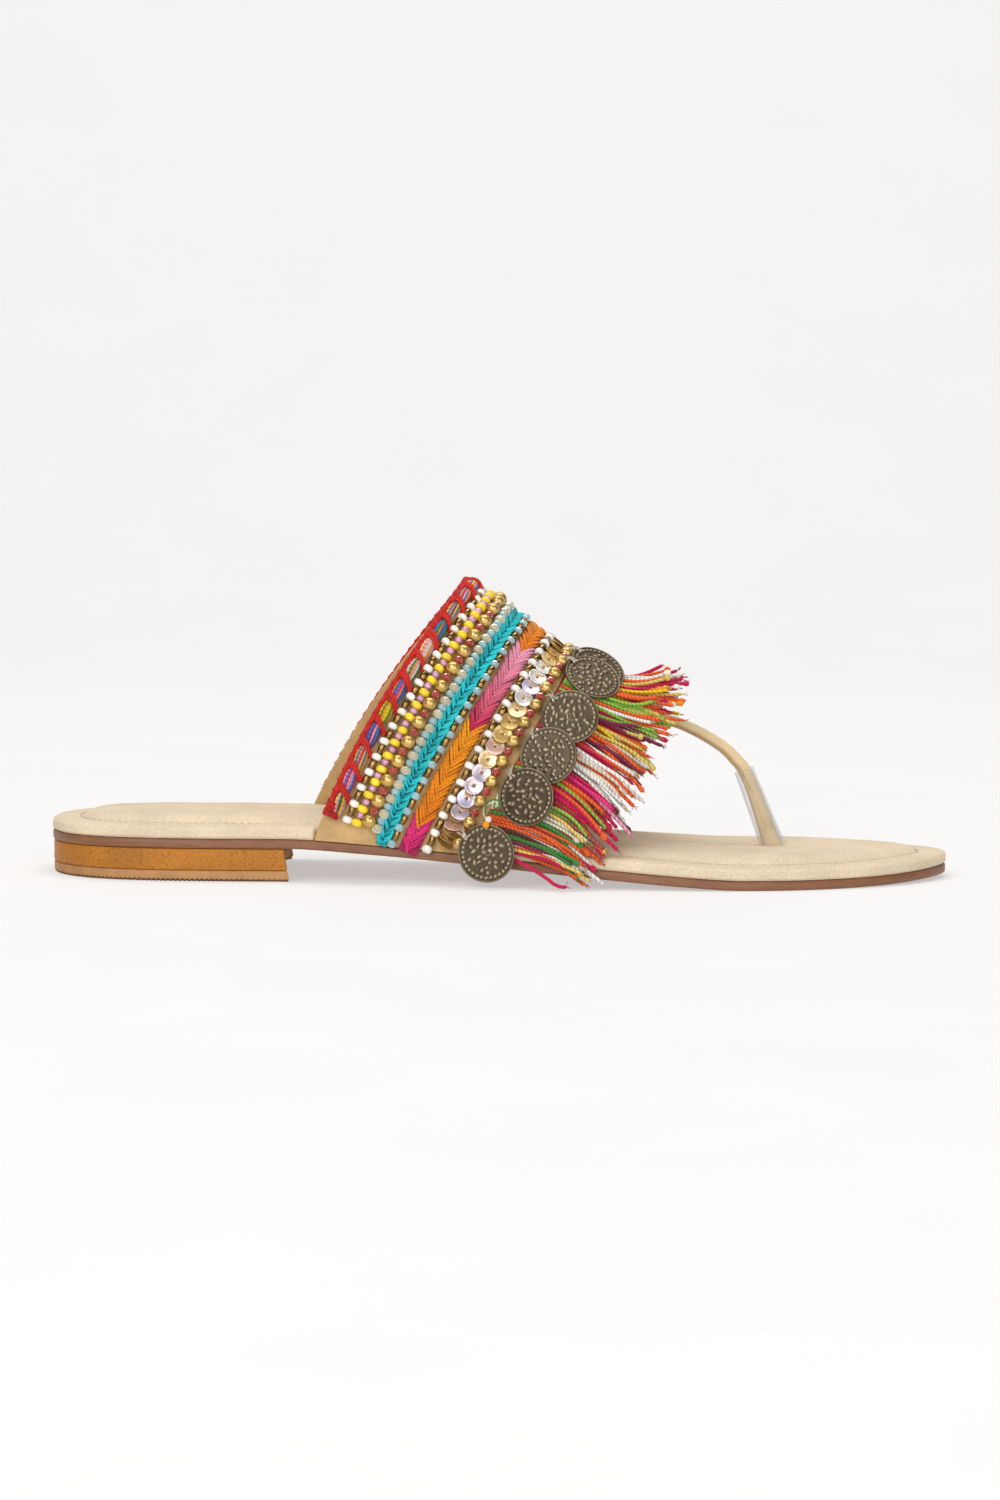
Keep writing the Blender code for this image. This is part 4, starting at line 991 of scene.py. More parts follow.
def make_teal_braid():
    row = row_line(0.4545, 0.25, -0.9)
    s = np.linspace(0, 1, 9)[None]
    batch = Batch()
    for side in (LATERAL, MEDIAL):
        starts = from_foot(row, side, 0.5, BRAID_PITCH)
        count = len(starts)
        for edge in (-1, 1):
            for ply in range(2):
                wander = jitter(count, 0.20, 80 + ply + edge)[:, None]
                curve = np.stack([
                    -side * (3.6 * s + 0.80 * ply + wander),
                    0.30 + 1.05 * np.sin(math.pi * (0.10 + 0.84 * s)) + wander * 0.5,
                    edge * (0.10 + 1.62 * np.sin(s * 2.2) * (1 - 0.10 * ply)) + wander * 0.6], 2)
                shade = np.clip(np.array(TEAL) * (1 + jitter(count, 0.26, 8 + edge + ply)[:, None]), 0, 1)
                strands(batch, row, starts + BRAID_PITCH / 2 * (edge > 0), curve, 0.37, shade)
    # Painted shade: a sheet in teal darkened to 0.6 shows as the shade in the gaps between the loops
    add_shade_sheet(batch, row, 0.20, 1.5, times(TEAL, 0.60))
    piece = batch.make("row_teal_braid_dressed", [silk])
    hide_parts("row_teal_braid")


# Leaves of the embroidery from the crown down: where each starts, in millimetres from the
# crown, and its colour at its upper and its lower end
LEAVES = table("start upper lower", (0, ORANGE, linear(240, 130, 20)), (18.6, PINK, CRIMSON),
               (47.5, ORANGE, linear(240, 134, 16)), (77.5, MAGENTA, CRIMSON), (200, CRIMSON, CRIMSON))


def leaf_colour(away):
    out = np.empty((len(away), 3))
    for leaf, after in zip(LEAVES[:-1], LEAVES[1:]):
        inside = (away >= leaf.start) & (away < after.start)
        share = np.clip((away - leaf.start) / min(after.start - leaf.start, 29.0), 0, 1)[:, None]
        out = np.where(inside[:, None], np.array(leaf.upper) * (1 - share) + np.array(leaf.lower) * share, out)
    return out


def make_leaves():
    """Satin stitches laid in chevrons, their middle low and their arms up, leaf after leaf."""
    row = row_line(0.639, 0.15, -2.0)
    s = np.linspace(0, 1, 7)
    batch = Batch()
    for side in (LATERAL, MEDIAL):
        starts = from_foot(row, side, 0.3, STITCH_PITCH)
        count = len(starts)
        away = np.abs(starts - row.crown)
        for edge in (-1, 1):
            wide = 2.85 + jitter(count, 0.22, 31 + edge)
            climb = np.minimum(4.7 + jitter(count, 0.5, 35 + edge), np.maximum(away - 0.2, 0.8))
            curve = np.stack([
                -side * climb[:, None] * s,
                0.34 + 0.74 * np.sin(math.pi * (0.06 + 0.86 * s)) + jitter(count, 0.20, 39)[:, None] * np.ones(7),
                edge * (wide[:, None] * s**0.9 - 0.25)], 2)
            shade = leaf_colour(away) * (1 + jitter(count, 0.20, 43 + edge)[:, None])
            place = starts + STITCH_PITCH / 2 * (edge > 0) + jitter(count, 0.16, 47 + edge)
            strands(batch, row, place, curve, 0.43, np.clip(shade, 0, 1))
    # Painted shade: a sheet in the leaves' colours darkened to 0.42 shows as the shade in the gaps between the stitches
    add_shade_sheet(batch, row, 0.22, 2.7, leaf_colour(np.abs(shade_sheet_places(row) - row.crown)) * 0.42)
    piece = batch.make("row_leaf_stitch_dressed", [silk])
    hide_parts("row_leaf_stitch")


KNOT = ball_template(0.80, 1.9, 10, 7, 0.8)
# Colours of the trim's and the fringe's threads, by their letters
LETTERS = {"B": BURNT, "C": CRIMSON, "E": CREAM, "G": GREEN, "K": SKY, "L": LIME, "M": MAGENTA, "N": BROWN, "O": ORANGE,
           "P": PINK, "R": ROSE, "S": STRAW, "U": PLUM, "V": PURPLE, "W": WHITE, "Y": YELLOW}
# From the crown down: the strands that show between one red wrap and the next
PETALS = "OPKY KOCP YKOV VKGO EOPE PEGO OVKM YGOY VKUP YKOM PKCP UYPG".split()


def make_trim():
    """A many-coloured bundle couched down with red, beside a red cord along the band's edge."""
    # It stands up over the crown
    row = row_line(0.050, 0.1 + 1.5 * np.exp(-((np.linspace(-1, 1, ROW_STEPS) / 0.22) ** 2)), 6.0)
    batch = Batch()

    def lay(place, curve, radius, colour):
        strands(batch, row, np.array([place]), np.stack(curve, 1), radius, colour)

    # Between two red wraps the bundle swells to a leaf of strands, of other colours each time
    s = np.linspace(0, 1, 12)
    swell = np.sin(math.pi * s)
    pick = np.random.default_rng(41)
    for side in (LATERAL, MEDIAL):
        for number, start in enumerate(np.arange(0, reach(row, side) - 4.0, WRAP_PITCH)):
            petal = PETALS[number % len(PETALS)]
            for k in range(7):
                spread = (k - 3) / 3
                long_ = WRAP_PITCH * pick.uniform(1.12, 1.26)
                curve = [side * (0.2 + long_ * s),
                         0.50 + 1.40 * swell * (1 - 0.45 * spread**2) + pick.uniform(-0.1, 0.1),
                         0.35 + 0.9 * s + 1.35 * spread * swell**0.7]
                shade = times(LETTERS[petal[k % len(petal)]], pick.uniform(0.8, 1.0))
                lay(row.crown + side * start, curve, 0.42, shade)
    # The red cord: three plies, lumpy where the wraps go under it
    at_all = np.linspace(0.3, row.total - 0.3, int(row.total / 0.5))
    lumps = 0.46 + (0.16 * np.sin(at_all * 1.9) + 0.13 * np.sin(at_all * 4.3 + 1.0))
    for k in range(3):
        turn = TURN * (k / 3 + at_all / 3.0)
        lay(0.0, [at_all, 0.85 + lumps * np.sin(turn), -1.50 + lumps * np.cos(turn)], 0.50, times(RED, 0.80 + 0.10 * k))
    s = np.linspace(0, 1, 14)[None]
    for side in (LATERAL, MEDIAL):
        starts = row.crown + side * np.arange(0, reach(row, side) - 3.5, WRAP_PITCH)
        for k in range(3):
            wander = jitter(len(starts), 0.20, 90 + k)[:, None]
            curve = np.stack([
                side * (-1.2 + 3.9 * s**1.3 + 0.72 * k * (1 - 0.8 * s)) + wander,
                0.20 + 1.85 * np.sin(math.pi * (0.06 + 0.92 * s)) ** 0.7 + 0.2 * wander,
                -2.0 + 5.4 * s**0.85 + 0.10 * k + wander * 0.5], 2)
            shade = np.clip(np.array(RED) * (0.92 + jitter(len(starts), 0.14, k)[:, None]), 0, 1)
            strands(batch, row, starts, curve, 0.47, shade)
        at, axes = frames_at(row, starts + side * 2.6)
        stamp(batch, KNOT, at + 0.7 * axes[:, 1] + 3.2 * axes[:, 2], axes, 0, times(RED, 0.86))
    # A wound knot closes the trim above the sole
    pick = np.random.default_rng(12)
    turn = np.linspace(0, TURN, 18)
    for place in (2.2, row.total - 2.2):
        for k in range(15):
            lean, size = pick.uniform(-0.5, 0.5), pick.uniform(0.75, 1.1)
            curve = [pick.uniform(-1.5, 1.5) + 0.5 * np.cos(turn + k) + lean * np.sin(turn),
                     0.75 + 0.95 * size * np.cos(turn), -0.2 + 1.85 * size * np.sin(turn)]
            lay(place, curve, 0.42, times(RED, pick.uniform(0.6, 0.95)))
    piece = batch.make("trim_cord_dressed", [cotton])
    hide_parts("trim_cord")


# Coins


COIN_RADIUS, COIN_THICKNESS, COIN_AHEAD = 8.0, 0.8, 7.3
COIN_PROP, COIN_TILT = math.radians(9.0), math.radians(13.0)
COIN_WALKS = (15.0, 31.5, 43.8, 56.0)
TOP_COIN_WALK, TOP_COIN_TILT = 8.0, math.radians(18.0)
CROWN_COIN_TILT, LOW_COIN_TURN = math.radians(8.0), math.radians(15.0)
HEADER_RISE = 1.0
UP = np.array([0, 0, 1.0])


def coin_places():
    """(name, centre, normal) of each coin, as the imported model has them."""
    across = 1 + COIN_AHEAD / BAND_WIDTH
    flat_lift = HEADER_RISE + CLEARANCE + COIN_THICKNESS / 2 + COIN_AHEAD * math.sin(COIN_PROP)
    lift = flat_lift + COIN_RADIUS * math.sin(COIN_TILT) * 0.72

    def leaning(around, to_crown, tilt):
        ahead = unit(band_point(around, across + 0.01) - band_point(around, across))
        propped = surface_normal(around, across) * math.cos(COIN_PROP) - ahead * math.sin(COIN_PROP)
        return propped * math.cos(tilt) - to_crown * math.sin(tilt)

    crown = leaning(0.0, np.array([0, 1.0, 0]), CROWN_COIN_TILT)
    places = [("coin_crown", band_point(0.0, across, flat_lift + 1.2), crown)]
    number = 0
    for side in (LATERAL, MEDIAL):
        arounds = side * np.linspace(0, 1, 200)
        walked = lengths_along(band_point(arounds, across))
        for walk in (TOP_COIN_WALK, *COIN_WALKS) if side == LATERAL else COIN_WALKS:
            if walk < walked[-1] - 14.0:
                top = walk == TOP_COIN_WALK
                number += not top
                around = np.interp(walk, walked, arounds)
                to_crown = unit(band_point(around * 0.98, across) - band_point(around, across))
                centre = band_point(around, across, lift + 0.35 * top)
                normal = leaning(around, to_crown, TOP_COIN_TILT if top else COIN_TILT)
                places.append(("coin_top" if top else f"coin_{number}", centre, normal))
    foot = band_values(1.0)[0] + 5.0
    for name, side in (("coin_low_lateral", LATERAL), ("coin_low_medial", MEDIAL)):
        centre = np.array([foot, float(edge_across(foot, side)) + side * (2.8 + 2.4 + 0.7), 9.6])
        places.append((name, centre, np.array([-math.sin(LOW_COIN_TURN), side * math.cos(LOW_COIN_TURN), 0.0])))
    return places


RELIEF = 0.45
DOTS, DOT_RING, DASHES = 32, 6.70, 30
# Radii of the rings over the face, and of those back under it with their heights
FACE_RADII = np.concatenate([np.linspace(0.15, 7.1, 40), np.linspace(7.2, 7.95, 9), [8.0, 8.0]])
BACK_RADII, BACK_HEIGHTS = np.array([8.0, 7.8, 4.0, 0.15]), np.array([-0.22, -0.40, -0.40, -0.40])
DARKEST, BRIGHTEST = np.array(linear(92, 80, 66)), np.array(linear(214, 198, 168))


def relief(x, y, seed):
    """Struck pattern: a raised rim, a ring of dots, dashes strewn inside and a worn swirl."""
    r, angle = np.hypot(x, y), np.arctan2(y, x)
    pick = np.random.default_rng(seed)
    rim = np.clip(1 - np.abs(r - 7.74) / 0.26, 0, 1) ** 0.6 * 0.30
    near = np.round(angle / TURN * DOTS) * TURN / DOTS
    dots = np.hypot(x - DOT_RING * np.cos(near), y - DOT_RING * np.sin(near))
    height = np.maximum(rim, RELIEF * np.clip(1 - (dots / 0.50) ** 2, 0, 1) ** 0.8)
    for k in range(DASHES):
        away = 5.5 * math.sqrt((k + 0.5) / DASHES)
        where = TURN * (k * 0.382 + 0.05 * pick.random())
        way = pick.uniform(0, math.pi)
        long_, wide = pick.uniform(0.55, 1.05), pick.uniform(0.42, 0.58)
        dx, dy = x - away * math.cos(where), y - away * math.sin(where)
        along, beside = dx * math.cos(way) + dy * math.sin(way), dy * math.cos(way) - dx * math.sin(way)
        dash = np.clip(1 - (along / long_) ** 2 - (beside / wide) ** 2, 0, 1) ** 0.6
        height = np.maximum(height, 0.9 * RELIEF * dash)
    swirl = np.sin(2 * angle + r * 3.2 + pick.uniform(0, 6)) * np.clip(1 - (r / 2.4) ** 2, 0, 1)
    height = np.maximum(height, 0.5 * RELIEF * np.clip(swirl, 0, 1))
    return height * (0.92 + 0.08 * np.sin(x * 1.3 + seed) * np.cos(y * 1.1))


def make_coins():
    turn = angles(132)
    radii = np.concatenate([FACE_RADII, BACK_RADII])[:, None]
    x, y = radii * np.cos(turn), radii * np.sin(turn)
    face = len(FACE_RADII)
    edge_drop = np.zeros((face, 1))
    edge_drop[-2:, 0] = (0.10, 0.22)
    low = np.repeat(BACK_HEIGHTS[:, None], len(turn), axis=1)
    for seed, (name, centre, normal) in enumerate(coin_places()):
        up = unit(UP - normal * normal[2])
        side = np.cross(normal, up)
        height = relief(x[:face], y[:face], seed + 1)
        top = np.minimum(COIN_THICKNESS / 2 - RELIEF + height - edge_drop, COIN_THICKNESS / 2)
        out = np.concatenate([top, low]) + 0.10 * np.cos(2 * turn + seed) * (radii / 8) ** 2
        points = centre + x[..., None] * side + y[..., None] * up + out[..., None] * normal
        raised = np.clip(height / RELIEF, 0, 1)[..., None] ** 1.8
        shade = (DARKEST * (1 - raised) + BRIGHTEST * raised).reshape(-1, 3)
        tints = np.concatenate([shade, np.tile(DARKEST * 1.3, (low.size, 1))])
        piece = add_mesh(name + "_dressed", points, pile_faces(len(radii), len(turn)), [coin_brass], tints=tints)
        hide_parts(name)


def make_coin_ties():
    """Off-white thread that holds each coin by its rear edge, with a small knot."""
    paths = []
    places = coin_places()
    flat = band_point(0.0, 1.0) - band_point(0.0, 1.2)
    s = np.linspace(0, 1, 16)[:, None]
    for seed, (name, centre, normal) in enumerate(places):
        pick = np.random.default_rng(seed + 60)
        if "low" in name:
            way = unit(np.array([-0.75, 0.0, 0.65]))
        else:
            way = unit(UP - normal * normal[2])
            way = unit(way * 0.35 + unit(flat - normal * (flat @ normal)) * 0.9)
        side = np.cross(normal, way)
        for k in range(3):
            spread = (k - 1) * 0.45 + pick.uniform(-0.1, 0.1)
            start = centre + way * (COIN_RADIUS - 1.6) + normal * 0.65 + side * spread
            stop = centre + way * (COIN_RADIUS + 1.7) - normal * 0.9 + side * spread * 1.8
            bend = normal * (0.7 * np.sin(math.pi * s)) + side * (0.3 * np.sin(5 * s + k))
            paths.append(start + (stop - start) * s + bend)
    batch = Batch()
    batch.tubes(paths, 0.19, (0, 0.3, 1), 6, TIE)
    # Loose threads from the last coin of the outer side down to the low one, looped and knotted
    centres = {name: centre for name, centre, _ in places}
    top = centres["coin_4"] + np.array([-7.6, -2.2, 1.0])
    end = centres["coin_low_lateral"] + np.array([-0.4, -0.2, 7.4])
    s = np.linspace(0, 1, 60)[:, None]
    loop = TURN * np.clip((s - 0.42) / 0.34, 0, 1)
    for k, colour in enumerate((LOOSE_THREAD, LOOSE_WHITE, GREEN)):
        path = top + (end - top) * s + (1.35 + 0.25 * k) * np.concatenate([np.sin(loop), 0 * loop, 1 - np.cos(loop)], 1)
        path = path + (0.25 * k, -0.8 - 0.25 * k, 0) + 0.25 * np.sin(9 * s + k) * (1, 0, 0)
        batch.tubes(path[8 * k : 60 - 6 * k], 0.26, (0, 1.0, 0), 6, colour)
    for share, colour in ((0.78, LOOSE_WHITE), (0.95, ORANGE)):
        place = top + (end - top) * share + (0.2, -1.0, 0)
        stamp(batch, ball_template(0.95, 1.8, 10, 7, 0.8), place[None], np.eye(3)[None], 0, colour)
    piece = batch.make("coin_ties", [cotton])


# Fringe


FRINGE_LENGTH = 37.0
FRINGE_LAYERS, FRINGE_COUNT, FRINGE_STEPS = 3, 104, 15
FLOOR_GAP = 1.5
THREAD_SIDE = (0.1, 0.3, 1.0)
# Run of the threads by the height of their roots, in shares of the band's front height
THREAD_RUNS = table(
    "height forward outward drop",
    (0.00, 31.0, 9.0, 6.0), (0.15, 31.0, 8.5, 11.5), (0.35, 29.0, 7.5, 16.0), (0.50, 28.5, 6.5, 18.5),
    (0.72, 30.0, 4.0, 16.5), (0.85, 31.0, 2.0, 12.5), (1.00, 32.0, 0.0, 6.5))
# From the crown down: the threads' colours
THREAD_COLOURS = np.array([LETTERS[letter] for letter in (
    "CMBCWCBWBSOCYWBWBCSLBWBLCSUBYSSWBUSWCBWWBEWWNPCMCBLCBCCBCLSRSEBWGBCWBNGWUSBC")])


def kept_clear(points, side):
    """Threads stay outside the sole's edge where they are low, and off the floor."""
    along = points[..., 0]
    edge = edge_across(along, side) + side * 0.9
    low = np.clip((underside(along) + 8.0 + 2.0 - points[..., 2]) / 3.0, 0, 1)
    outer = np.where(side * points[..., 1] < side * edge, edge, points[..., 1])
    points[..., 1] += (outer - points[..., 1]) * low
    points[..., 2] = np.maximum(points[..., 2], FLOOR_GAP)
    return points


def front_share(heights):
    """Heights on the band's front edge as shares of the way from its foot to its crown."""
    foot, _, crown, _ = band_values(1.0)
    floor = underside(foot) + INSOLE_BASE
    return (heights - floor) / (crown - floor)


def foot_lift(share):
    """The roots stand out further near the feet."""
    return np.interp(share, [0.08, 0.24], [1.5, 0.0])


def make_fringe():
    pick = np.random.default_rng(23)
    arounds = np.linspace(-0.99, 0.99, 900)
    edge = on_surface(arounds, 1.0)
    walked = lengths_along(edge)
    crown = np.interp(0.0, arounds, walked)
    count = FRINGE_COUNT
    s = np.linspace(0, 1, FRINGE_STEPS)
    t = s[None, :, None]
    batch = Batch()
    knots = []
    for layer in range(FRINGE_LAYERS):
        places = (np.arange(count) + 0.5 + pick.uniform(-0.32, 0.32, count)) * walked[-1] / count
        around = np.interp(places, walked, arounds)
        side = np.where(around < 0, LATERAL, MEDIAL)
        share = front_share(on_surface(around, 1.0)[:, 2])
        root = band_point(around, 1.0 + 0.5 / BAND_WIDTH, 0.15 + 0.62 * layer)
        root = root + surface_normal(around, 1.0) * foot_lift(share)[:, None]
        length = 0.955 + 0.04 * np.sin(places * 0.9) + pick.uniform(-0.13, 0.04, count) - 0.04 * layer
        forward, outward, drop = smoothed(THREAD_RUNS, "forward outward drop", share)
        run = np.stack([forward * length, side * outward * length, -drop * length], 1)
        run[:, 2] += np.minimum(pick.normal(0, 1.5, count), 1.2)
        run[:, 1] += pick.normal(0, 1.4, count)
        run[:, 2] += 0.9 * (layer - 1)
        stray = pick.random(count) < 0.08
        run[stray, 2] -= pick.uniform(2, 6, stray.sum())
        run[stray, 0] *= pick.uniform(0.86, 1.0, stray.sum())
        lead = unit(band_point(around, 1.12) - band_point(around, 1.0)) * (0.42 * FRINGE_LENGTH)
        lead[:, 2] += 1.0
        paths = root[:, None] + 2 * t * (1 - t) * lead[:, None] + t**2 * run[:, None]
        wave, bend, turns = (pick.uniform(*span, (count, 1)) for span in ((0, 6.28), (0.15, 0.7), (0.7, 1.7)))
        sway = bend * np.sin(wave + s * 6.28 * turns) * s**0.7
        paths[..., 2] += sway
        paths[..., 1] += sway * pick.uniform(-0.8, 0.8, (count, 1))
        paths = kept_clear(paths, side[:, None])
        away = np.abs(places - crown) / np.where(around < 0, crown, walked[-1] - crown)
        group = (away * len(THREAD_COLOURS) + pick.normal(0, 0.55, count)).astype(int)
        tints = THREAD_COLOURS[np.clip(group, 0, len(THREAD_COLOURS) - 1)] * pick.uniform(0.86, 1.06, (count, 1))
        tints = np.clip(tints, 0, 1)
        batch.tubes(paths, pick.uniform(0.43, 0.57, (count, 1)), THREAD_SIDE, 6, tints)
        knotted = pick.random(count) < 0.30
        ends, ways = paths[:, -1], unit(paths[:, -1] - paths[:, -2])
        for i in np.flatnonzero(knotted):
            n = unit(np.cross(ways[i], (0.2, 1.0, 0.1)))
            turned_to = np.stack([ways[i], n, np.cross(ways[i], n)])
            knots.append((ends[i] - ways[i] * 0.3, turned_to, tints[i], pick.uniform(0.75, 1.25, 3)))
        # Frayed fibres at the cut ends
        for i in np.flatnonzero(~knotted):
            fibres = []
            for _ in range(3):
                off = pick.normal(0, 0.35, 3)
                along = np.linspace(0, 1, 4)[:, None]
                fibres.append(ends[i] - ways[i] * 0.2 + ways[i] * along * pick.uniform(0.8, 1.7) + off * along**1.5)
            batch.tubes(fibres, 0.10, THREAD_SIDE, 4, tints[i])
    lump = KNOT[0] * (1 + 0.16 * np.sin(KNOT[0][:, [1, 2, 0]] * 7.0))
    origins, axes, tints, sizes = (np.array(values) for values in zip(*knots))
    stamp(batch, (lump, KNOT[1]), origins, axes, 0, tints, sizes)
    # The sewn root, a cord along the band's front edge
    keep = np.linspace(0, 899, 160).astype(int)
    lift = 0.05 + foot_lift(front_share(edge[keep, 2]))
    root = band_point(arounds[keep], 1.0 + 0.9 / BAND_WIDTH, lift)
    batch.tubes(root, 0.75, surface_normal(arounds[keep], 1.0), 8, ROOT)
    piece = batch.make("fringe_dressed", [cotton])
    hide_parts("fringe")


# Toe strap and sleeve


STRAP_MIDDLE = table(
    "forward height",
    (0.180, 0.270), (0.384, 0.435), (0.628, 0.536), (0.724, 0.609), (0.819, 0.703), (0.899, 0.801), (0.956, 0.906))
STRAP_SECTIONS = table(
    "along half_width half_thickness",
    (0, 0.50, 0.18), (0.20, 0.46, 0.22), (0.45, 0.38, 0.27), (0.62, 0.31, 0.30), (0.75, 0.34, 0.34), (1, 0.50, 0.50))
STRAP_STEPS, STRAP_SIDES, SLEEVE_SIDES = 150, 40, 56
SLEEVE_WALL, SLEEVE_TOP_ROOM = 0.4, 0.2
# Where the roll's sewn lines run: the point round the strap, and the first and last ring
SEAM_LINES = [(23, 44, 118), (24, 60, 112)]


def post_base():
    axis = np.array([-math.sin(POST_LEAN), 0.0, math.cos(POST_LEAN)])
    return np.array([POST_ALONG, POST_ACROSS, float(underside(POST_ALONG)) + CUSHION_TOP]), axis


def make_toe_strap():
    """Leather rolled round a core: flat under the band, round from the bend down."""
    base, axis = post_base()
    under = -(BAND_WALL + CLEARANCE + STRAP_SECTIONS[1].half_thickness * POST_DIAMETER)
    hidden, front = band_point(0.0, 0.72, under), band_point(0.0, 1.0, under)
    top = base + axis * (SLEEVE_LENGTH + CLEARANCE)
    middle = [front + (top - front) * (p.forward, p.forward, p.height) for p in STRAP_MIDDLE]
    sunk = (CUSHION_TOP - INSOLE_BASE) / axis[2] - POST_DIAMETER / 2 * math.sin(POST_LEAN)
    route = np.array([hidden, front, *middle, top, base, base - axis * sunk])
    walked = lengths_along(route)
    at = np.linspace(0, 1, STRAP_STEPS)
    line = np.stack([smooth(walked / walked[-1], route[:, k], at) for k in range(3)], 1)
    wide, thick = (POST_DIAMETER * half for half in smoothed(STRAP_SECTIONS, "half_width half_thickness", at))
    turns = angles(STRAP_SIDES)
    tangents = unit(np.gradient(line, axis=0))
    up = unit(np.cross(tangents, (0.0, 1.0, 0.0)))
    across = np.cross(up, tangents)
    # The overlap of the rolled leather leaves a low step and a groove along its outer side
    seam = np.exp(-(((turns - 3.55) / 0.10) ** 2)) * 0.16 - 0.10 * np.exp(-(((turns - 3.85) / 0.35) ** 2))
    bent = np.exp(-(((at - 0.5) / 0.2) ** 2))[:, None]
    crease = 0.05 * np.sin(at * 210)[:, None] * np.clip(np.sin(turns + 0.6), 0, 1) * bent
    size = 1 - seam[None] - crease
    points = (line[:, None] + across[:, None] * (np.cos(turns) * wide[:, None] * size)[..., None]
              + up[:, None] * (np.sin(turns) * thick[:, None] * size)[..., None])
    piece = add_mesh("toe_strap_dressed", points, pile_faces(STRAP_STEPS, STRAP_SIDES), [strap_leather])
    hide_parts("toe_strap")
    # The sewn edge of the roll, down its outer side
    batch = Batch()
    for place, start, stop in SEAM_LINES:
        batch.tubes(points[start:stop, place], 0.13, (0, 1.0, 0), 6, SEAM)
    seam_piece = batch.make("strap_seam", [silk])


def make_sleeve():
    base, axis = post_base()
    turns = angles(SLEEVE_SIDES)[:, None]
    ring = np.cos(turns) * np.array([axis[2], 0, -axis[0]]) + np.sin(turns) * np.array([0, 1.0, 0])
    foot = POST_DIAMETER * 0.50 + CLEARANCE
    top = POST_DIAMETER * 0.34 + CLEARANCE + SLEEVE_TOP_ROOM
    shares = np.linspace(0, 1, 26)
    inside = foot + (top - foot) * shares + 0.25 * np.exp(-shares * 14)
    rows = [*zip(shares, inside + SLEEVE_WALL), (1.004, top + SLEEVE_WALL * 0.5), *zip(shares[::-1], inside[::-1])]
    level = base[2] + CLEARANCE
    points = []
    for s, radius in rows:
        at = base + axis * SLEEVE_LENGTH * s + ring * radius
        goal = (level - at[:, 2]) / axis[2]
        lifted = np.maximum(goal, 0)
        if s < 0.2:
            lifted = np.maximum(goal * (1 - s / 0.2) ** 2, lifted)
        points.append(at + axis * lifted[:, None])
    faces = shell_faces(len(rows), SLEEVE_SIDES)
    piece = add_mesh("post_sleeve_dressed", np.concatenate(points), faces, [plastic])
    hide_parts("post_sleeve")


# Set, light and camera


def put(item, name, place=(0, 0, 0), rotation=None):
    """An object of the set, linked to the scene."""
    thing = bpy.data.objects.new(name, item)
    thing.location = place
    if rotation is not None:
        thing.rotation_euler = Matrix(np.stack(rotation, 1).tolist()).to_euler()
    bpy.context.scene.collection.objects.link(thing)
    return thing


def make_set():
    """A pale sweep: floor, curve and wall in one."""
    profile = [(-2.2, 0.0), (-1.0, 0.0), (0.5, 0.0)]
    profile += [(0.9 + 0.6 * math.sin(a), 0.6 - 0.6 * math.cos(a)) for a in np.linspace(0, math.pi / 2, 14)]
    profile += [(1.5, 1.4), (1.5, 2.6)]
    mesh = bpy.data.meshes.new("floor")
    points = [(x, y, z) for y, z in profile for x in (-2.6, 2.6)]
    mesh.from_pydata(points, [], grid_faces(len(profile), 2)[:, ::-1].tolist())
    mesh.shade_smooth()
    floor = put(mesh, "floor")
    # A light table: part of its white comes from below, so shadows stay pale
    shade = Shade("floor_look", 0.9, Specular_IOR_Level=0.15)
    shade.feed("Base Color", shade.ramp(shade.noise(70, 2), (0.455, 0.45, 0.45), (0.47, 0.465, 0.46)))
    shade.shader.inputs["Emission Color"].default_value = (1.0, 0.985, 0.98, 1)
    shade.shader.inputs["Emission Strength"].default_value = 0.45
    mesh.materials.append(shade.material)


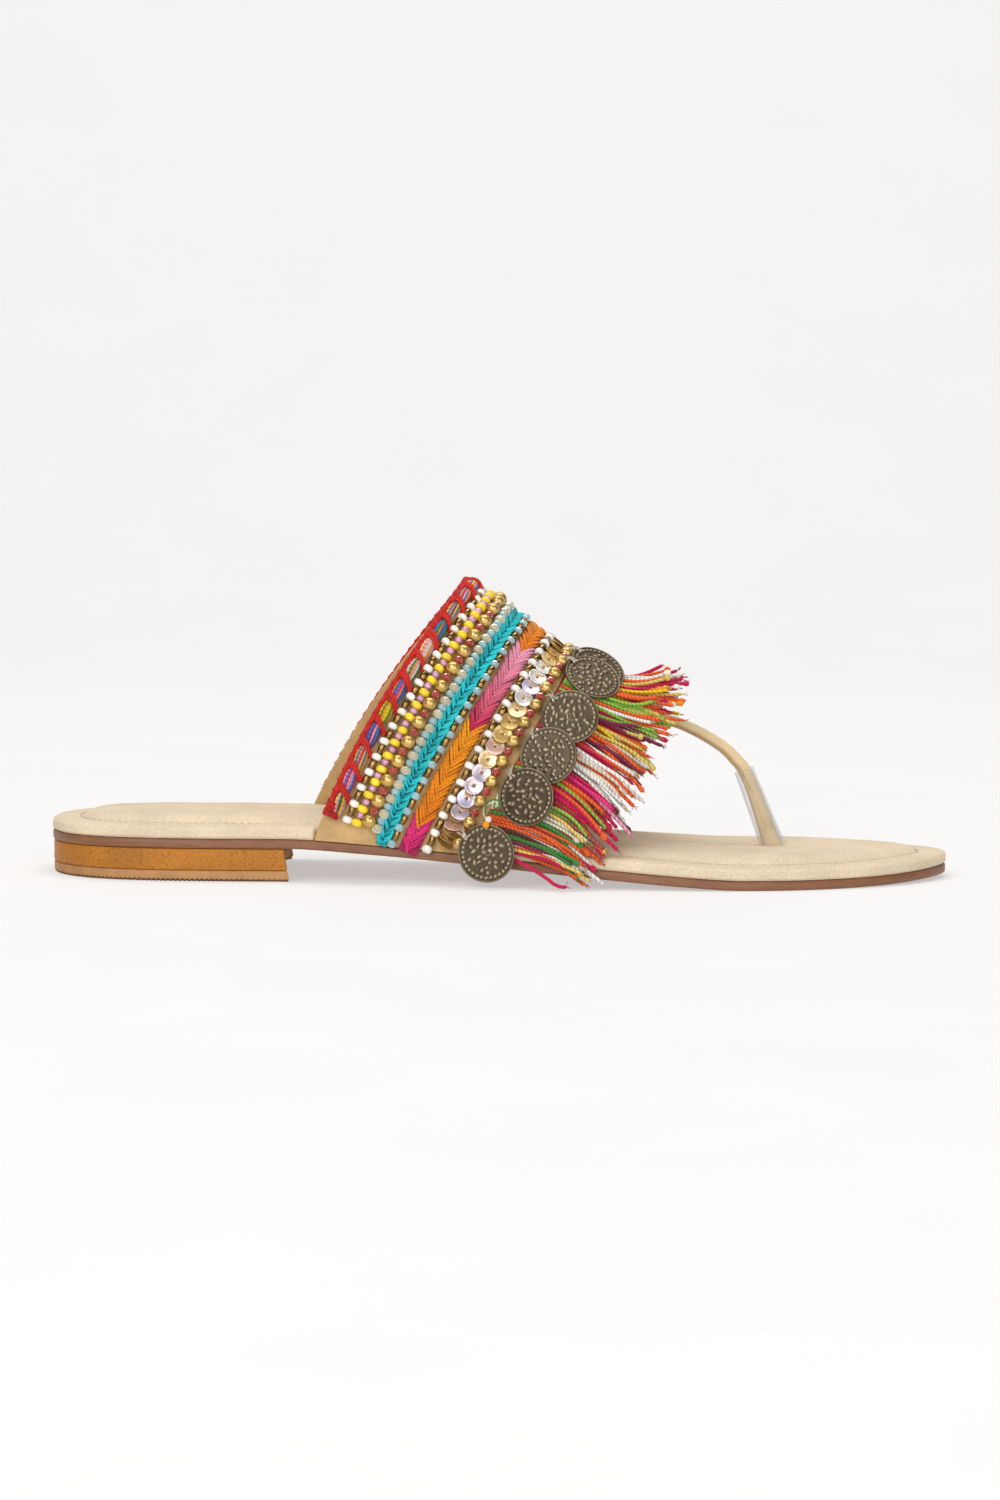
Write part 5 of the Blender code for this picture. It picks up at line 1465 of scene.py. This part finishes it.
LIGHT_TARGET = (0.09, 0.0, 0.03)
LIGHTS = table(
    "name place target size power colour",
    ("key", (-0.45, -1.1, 0.95), LIGHT_TARGET, (0.8, 0.7), 8, (1.0, 0.985, 0.965)),
    ("fill", (0.9, -1.2, 0.55), LIGHT_TARGET, (1.0, 0.8), 4, (1.0, 0.99, 0.98)),
    ("low", (0.1, -1.5, 0.28), (0.1, 0, 0.0), (2.2, 0.45), 8, FULL),
    ("top", (0.1, 0.1, 1.5), LIGHT_TARGET, (1.4, 1.0), 8, FULL),
    ("wall", (0.1, 0.3, 1.7), (0.1, 1.5, 0.4), (2.2, 0.5), 12, FULL))


def make_lights():
    world = bpy.data.worlds.new("studio")
    bpy.context.scene.world = world
    world.use_nodes = True
    sky = world.node_tree.nodes["Background"]
    sky.inputs["Color"].default_value = (1.0, 0.99, 0.985, 1)
    sky.inputs["Strength"].default_value = 0.18
    for row in LIGHTS:
        light = bpy.data.lights.new(row.name, "AREA")
        light.shape, light.size, light.size_y = "RECTANGLE", *row.size
        light.energy, light.color = row.power, row.colour
        away = unit(np.array(row.place) - np.array(row.target))
        side = unit(np.cross((0.0, 0.0, 1.0), away))
        put(light, row.name, row.place, (side, np.cross(away, side), away))
    view = bpy.context.scene.view_settings
    view.view_transform, view.look = "Standard", "None"
    view.exposure, view.gamma = 0.0, 1.0


CAMERA_TARGET = np.array([0.092126, 0.0, 0.034450])
CAMERA_DISTANCE, CAMERA_LENS = 1.10, 94.50
CAMERA_YAW, CAMERA_ELEVATION, CAMERA_ROLL = (math.radians(a) for a in (-0.933, 4.60, 0.518))


def make_camera():
    yaw, down, roll = CAMERA_YAW, CAMERA_ELEVATION, CAMERA_ROLL
    ahead = np.array([math.sin(yaw) * math.cos(down), math.cos(yaw) * math.cos(down), -math.sin(down)])
    right = np.array([math.cos(yaw), -math.sin(yaw), 0.0])
    up = np.cross(right, ahead)
    rolled = (right * math.cos(roll) + up * math.sin(roll), up * math.cos(roll) - right * math.sin(roll), -ahead)
    data = bpy.data.cameras.new("camera")
    data.lens, data.sensor_height, data.sensor_fit = CAMERA_LENS, 36.0, "VERTICAL"
    data.clip_start, data.clip_end = 0.05, 20
    bpy.context.scene.camera = put(data, "camera", CAMERA_TARGET - ahead * CAMERA_DISTANCE, rolled)


for make in (make_outsole, make_heel, make_insole, make_insole_stitches, make_band, make_bead_rows, make_sequins,
             make_teal_braid, make_leaves, make_trim, make_coins, make_coin_ties, make_fringe, make_toe_strap,
             make_sleeve, make_set, make_lights, make_camera):
    make()
